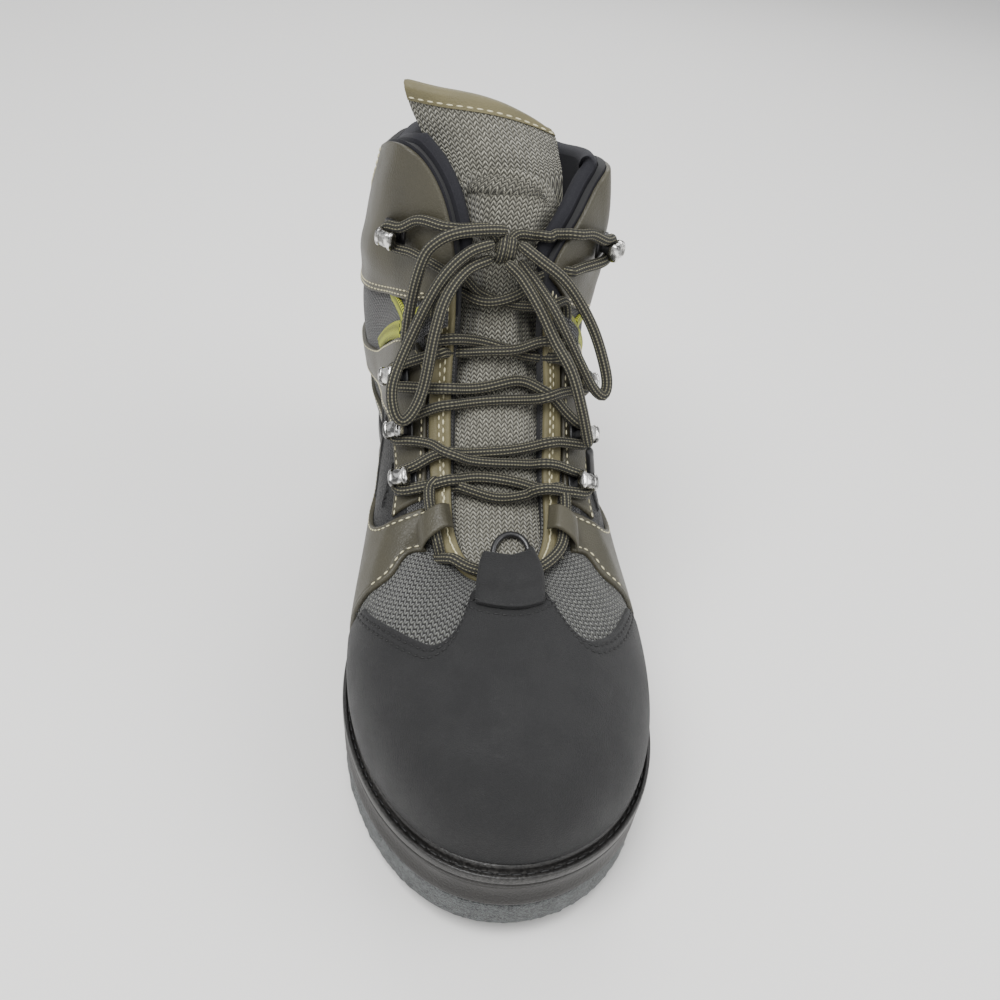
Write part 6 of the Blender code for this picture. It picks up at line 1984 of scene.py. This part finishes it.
@dataclass
class Lacing:
    """The lace from its bands round the hooks to the knot, and the bow."""

    finishes: Finishes
    hardware: Hardware
    under: Sequence[Object]
    around: int = 14
    gap: float = 0.0012
    wide: float = 1.06
    flat: float = 0.93
    rounds: int = 10
    easing_rounds: int = 8

    def __post_init__(self) -> None:
        """Gather the surfaces that the lace lies on."""
        corners, faces = [], []
        for made in self.under:
            base = len(corners)
            corners.extend(vertex.co.copy() for vertex in made.data.vertices)
            faces.extend(tuple(base + i for i in face.vertices) for face in made.data.polygons)
        self.tree = BVHTree.FromPolygons(corners, faces)

    def passes(self, rows: Sequence[Pass]) -> Array:
        """Points of a strand, in front of what it lies on, with how far each rides above it."""
        points = []
        for row in rows:
            start = Vector((row.out * SIZES.ball_width, -1.0, row.up * SIZES.collar_height))
            hit = self.tree.ray_cast(start, Vector((0.0, 1.0, 0.0)))[0]
            points.append((hit.x, hit.y - (0.5 + row.over) * SIZES.lace, hit.z, row.over))
        return np.array(points)

    def laid(self, rows: Sequence[Corner], side: int = 1) -> Array:
        """Points where the lace lies on the throat trim."""
        out = SIZES.clear * 2 + SIZES.overlay + SIZES.lace / 2 + SIZES.clear
        place, share = np.array(rows).T
        points = LAST.skin(side * place, share, out)
        return np.column_stack([points, np.zeros(len(points))])

    def round_hook(self, name: str) -> Array:
        """Points of the lace that comes to a hook from below and leaves above."""
        hook = next(row for row in LACE_HOOKS if row.name == name)
        base, towards, upward, normal = self.hardware.frame_of(hook)
        middle = base + normal * (self.hardware.plate[2] + SIZES.clear + SIZES.lace / 2)
        reach = self.hardware.neck / 2 + SIZES.lace / 2 + 0.0004
        below = ((0.9, -1.0), (0.0, -1.0), (-0.75, -0.75), (-1.0, 0.0))
        ways = below + tuple((a, -b) for a, b in below[2::-1])
        points = np.array([middle + reach * (a * towards + b * upward) for a, b in ways])
        return np.column_stack([points, np.zeros(len(points))])

    def settle_route(self, route: Array, gap: float) -> Array:
        """Even points of a route, lifted clear of what it lies on.

        Args:
            route: Rows of x, y, z and how many laces the point rides above the surface.
            gap: Distance between points.

        Returns:
            Points of the lace's middle line.
        """
        fine = smooth_rows(route, 24 * len(route))
        run = run_along(fine[:, :3])
        at = np.linspace(0, run[-1], math.ceil(run[-1] / gap) + 1)
        rows = np.column_stack([np.interp(at, run, fine[:, axis]) for axis in range(4)])
        points = rows[:, :3]
        for turn in range(self.rounds):
            for i, point in enumerate(points):
                need = SIZES.lace * (0.5 + max(rows[i, 3], 0.0)) + 0.0002
                spot, normal, _, _ = self.tree.find_nearest(Vector(point))
                away = point - np.array(spot)
                height = float(away @ np.array(normal))
                distance = float(np.linalg.norm(away))
                signed = math.copysign(distance, height)
                if signed < need:
                    points[i] = point + np.array(normal) * (need - signed) * 0.8
            if turn < self.easing_rounds:
                points[1:-1] = points[1:-1] * 0.6 + (points[:-2] + points[2:]) * 0.2
        return points

    def tube(self, piece: Piece, points: Array, radius: float, ends: bool = True) -> None:
        """Add an oval tube round a line.

        Args:
            piece: Piece that takes it.
            points: Its middle line.
            radius: Half the lace's diameter.
            ends: Whether its ends are rounded off.
        """
        ahead = unit(np.gradient(points, axis=0))
        side = np.cross(ahead[0], (0.31, -0.93, 0.17))
        turns = np.linspace(0, math.tau, self.around, endpoint=False)[:, None]
        loops = []
        for i, (point, way) in enumerate(zip(points, ahead)):
            side = unit(side - way * (side @ way))
            other = np.cross(way, side)
            wide, flat = radius * self.wide, radius * self.flat
            left = min(i, len(points) - 1 - i)
            if ends and left < 2:
                wide, flat = wide * (0.55, 0.9)[left], flat * (0.55, 0.9)[left]
            loops.append(point + wide * np.cos(turns) * side + flat * np.sin(turns) * other)
        run = run_along(points)
        grid = np.array(loops)
        count = len(points)
        seam = np.concatenate([grid, grid[:, :1]], axis=1)
        turn = np.linspace(0, 1, self.around + 1)[None, :]
        cloth = np.stack(np.broadcast_arrays(turn, run[:, None]), axis=-1)
        faces = grid_faces(count, self.around + 1)
        faces.append(tuple(range(self.around)))
        faces.append(tuple((count - 1) * (self.around + 1) + j for j in range(self.around)))
        piece.add(seam, faces, cloth)

    def half_run(self, strands: Sequence[Sequence[Pass]], hooks: Sequence[str], side: int) -> Array:
        """Route of half the lace: each strand and what it goes round or under next, up to the knot."""
        stops = [self.round_hook(f"hook_{hook}") for hook in hooks]
        stops.insert(3, self.laid(LOOP_PASS, side))
        stops.append(np.array([(*KNOT, 0.0)]))
        return np.concatenate([part for pair in zip(map(self.passes, strands), stops) for part in pair])

    def build_run(self) -> None:
        """The whole lace from knot to knot."""
        first = self.half_run(
            (TOE_TO_OUTER_1, OUTER_1_TO_INNER_2, INNER_2_TO_OUTER_3,
             OUTER_3_TO_LOOP, LOOP_TO_OUTER_4, OUTER_4_TO_KNOT),
            ("outer_1", "inner_2", "outer_3", "outer_4"), 1,
        )
        second = self.half_run(
            (TOE_TO_INNER_1, INNER_1_TO_OUTER_2, OUTER_2_TO_INNER_3,
             INNER_3_TO_LOOP, LOOP_TO_INNER_4, INNER_4_TO_KNOT),
            ("inner_1", "outer_2", "inner_3", "inner_4"), -1,
        )
        inner, outer = self.laid(LACE_FOOT), self.laid(LACE_FOOT, -1)
        route = np.concatenate([second[::-1], outer, inner[::-1][1:], first])
        solids = (
            "lace_toe", "lace_cross_1", "lace_cross_2", "lace_cross_3", "lace_cross_4",
            "lace_strand_inner", "lace_strand_outer",
        )
        piece = Piece("lace_run", "lace", solids)
        self.tube(piece, self.settle_route(route, self.gap), SIZES.lace / 2)
        piece.finish(self.finishes.lace, 80.0)

    def build_bow(self) -> None:
        """Knot, two loops and two ends, each a free cord."""
        turns = np.linspace(-0.3, 1.25, 40) * math.tau
        x = np.linspace(-0.0022, 0.0026, 40)
        wrap = np.stack([x, -0.0030 * np.cos(turns), 0.0036 * np.sin(turns)], axis=1) + KNOT
        core = np.linspace((-0.0034, -0.0006, 0.0012), (0.0036, 0.0004, -0.0014), 8) + KNOT
        knot = Piece("bow_knot", "lace", ("lace_knot",))
        self.tube(knot, wrap, SIZES.lace * 0.46)
        self.tube(knot, core, SIZES.lace * 0.62)
        knot.finish(self.finishes.lace, 80.0)
        aglet = Piece("aglet_tip", "black_metal", ("aglet_outer",))
        self.tube(aglet, even_rows(LAST.spots(AGLET_OUTER), 0.001), 0.0015)
        tip = aglet.finish(self.finishes.black_metal)
        for name, table, far_end, on_it in (
            ("lace_loop_inner", LOOP_INNER, "object", ()),
            ("lace_loop_outer", LOOP_OUTER, "object", ()),
            ("lace_end_inner", END_INNER, "bare", ()),
            ("lace_end_outer", END_OUTER, "fitting", (tip,)),
        ):
            points = even_rows(LAST.spots(table), self.gap)
            piece = Piece(name.replace("lace", "bow"), "lace", (name,))
            self.tube(piece, points, SIZES.lace / 2)
            made = piece.finish(self.finishes.lace, 80.0)

    def build(self) -> None:
        """Make the lace and its bow."""
        self.build_run()
        self.build_bow()


@dataclass(frozen=True)
class Studio:
    """Pale floor, soft lights and the photograph's view of the one shoe."""

    camera_place: tuple[float, float, float] = (-0.055, -0.457, 0.313)
    pitch: float = 41.0
    photo_focal: float = 889.0
    boot_middle: tuple[float, float] = (634.0, 421.0)
    boot_height: float = 726.0
    frame_share: float = 0.85
    image: float = 1000.0
    sensor: float = 36.0
    floor_side: float = 12.0
    aim: tuple[float, float, float] = (0.0, -0.11, 0.08)

    def add_floor(self) -> None:
        """Pale floor."""
        mesh = bpy.data.meshes.new("floor")
        half = self.floor_side / 2
        corners = [(-half, -half, 0), (half, -half, 0), (half, half, 0), (-half, half, 0)]
        mesh.from_pydata(corners, [], [(0, 1, 2, 3)])
        floor = put_in("floor", mesh)
        made, nodes, shader = start_material("pale_floor")
        nodes.fill(shader, Base_Color=(0.88, 0.87, 0.85, 1), Roughness=0.5)
        mesh.materials.append(made)

    def add_light(self, name: str, place: tuple[float, float, float], size: float, power: float) -> None:
        """Soft square light aimed at the boot.

        Args:
            name: Name of the light.
            place: Where it hangs.
            size: Its side.
            power: Its power in watts.
        """
        lamp = bpy.data.lights.new(name, "AREA")
        lamp.energy = power
        lamp.size = size
        made = put_in(name, lamp)
        made.location = place
        aim = Vector(self.aim) - Vector(place)
        made.rotation_euler = aim.to_track_quat("-Z", "Y").to_euler()

    def add_camera(self) -> None:
        """Camera at the photograph's place, turned to the one shoe without changing its slant."""
        pitch = math.radians(self.pitch)
        right = Vector((1.0, 0.0, 0.0))
        forward = Vector((0.0, math.cos(pitch), -math.sin(pitch)))
        up = Vector((0.0, math.sin(pitch), math.cos(pitch)))
        half = self.image / 2
        across = (self.boot_middle[0] - half) / self.photo_focal
        down = (self.boot_middle[1] - half) / self.photo_focal
        aim = (forward + right * across - up * down).normalized()
        top = (up - aim * up.dot(aim)).normalized()
        side = aim.cross(top)
        camera = bpy.data.cameras.new("camera")
        camera.sensor_width = self.sensor
        focal = self.photo_focal * self.frame_share * self.image / self.boot_height
        camera.lens = focal * self.sensor / self.image
        camera.clip_start = 0.01
        made = put_in("camera", camera)
        turn = Matrix((side, top, -aim)).transposed()
        made.matrix_world = Matrix.Translation(self.camera_place) @ turn.to_4x4()
        bpy.context.scene.camera = made

    def build(self) -> None:
        """Set the stage."""
        self.add_floor()
        self.add_light("key_light", (-0.5, -0.7, 1.5), 1.0, 34.0)
        self.add_light("fill_light", (1.1, -0.5, 0.9), 1.2, 11.0)
        self.add_light("back_light", (0.2, 1.2, 1.2), 1.2, 14.0)
        world = bpy.data.worlds.new("studio")
        world.use_nodes = True
        back = world.node_tree.nodes["Background"]
        back.inputs["Color"].default_value = (0.92, 0.93, 0.95, 1)
        back.inputs["Strength"].default_value = 0.66
        bpy.context.scene.world = world
        self.add_camera()


def report_size() -> None:
    """Bring the scene up to date."""
    bpy.context.view_layer.update()


def main() -> None:
    """Dress the boot and set the stage."""
    logging.basicConfig(level=logging.INFO, format="%(name)s %(message)s")
    finishes = Finishes()
    stitches = StitchTool()
    SoleUnit(finishes).build(stitches)
    UpperBody(finishes).build(stitches)
    Tongue(finishes).build(stitches)
    Collar(finishes).build()
    Straps(finishes).build(stitches)
    hardware = Hardware(finishes)
    hardware.build()
    names = (
        "tongue_cloth", "throat_trim_tape", "facing_leather", "cuff_leather", "quarter_leather", "collar_roll",
    )
    Lacing(finishes, hardware, [bpy.data.objects[name] for name in names]).build()
    Studio().build()
    report_size()


if __name__ == "__main__":
    main()
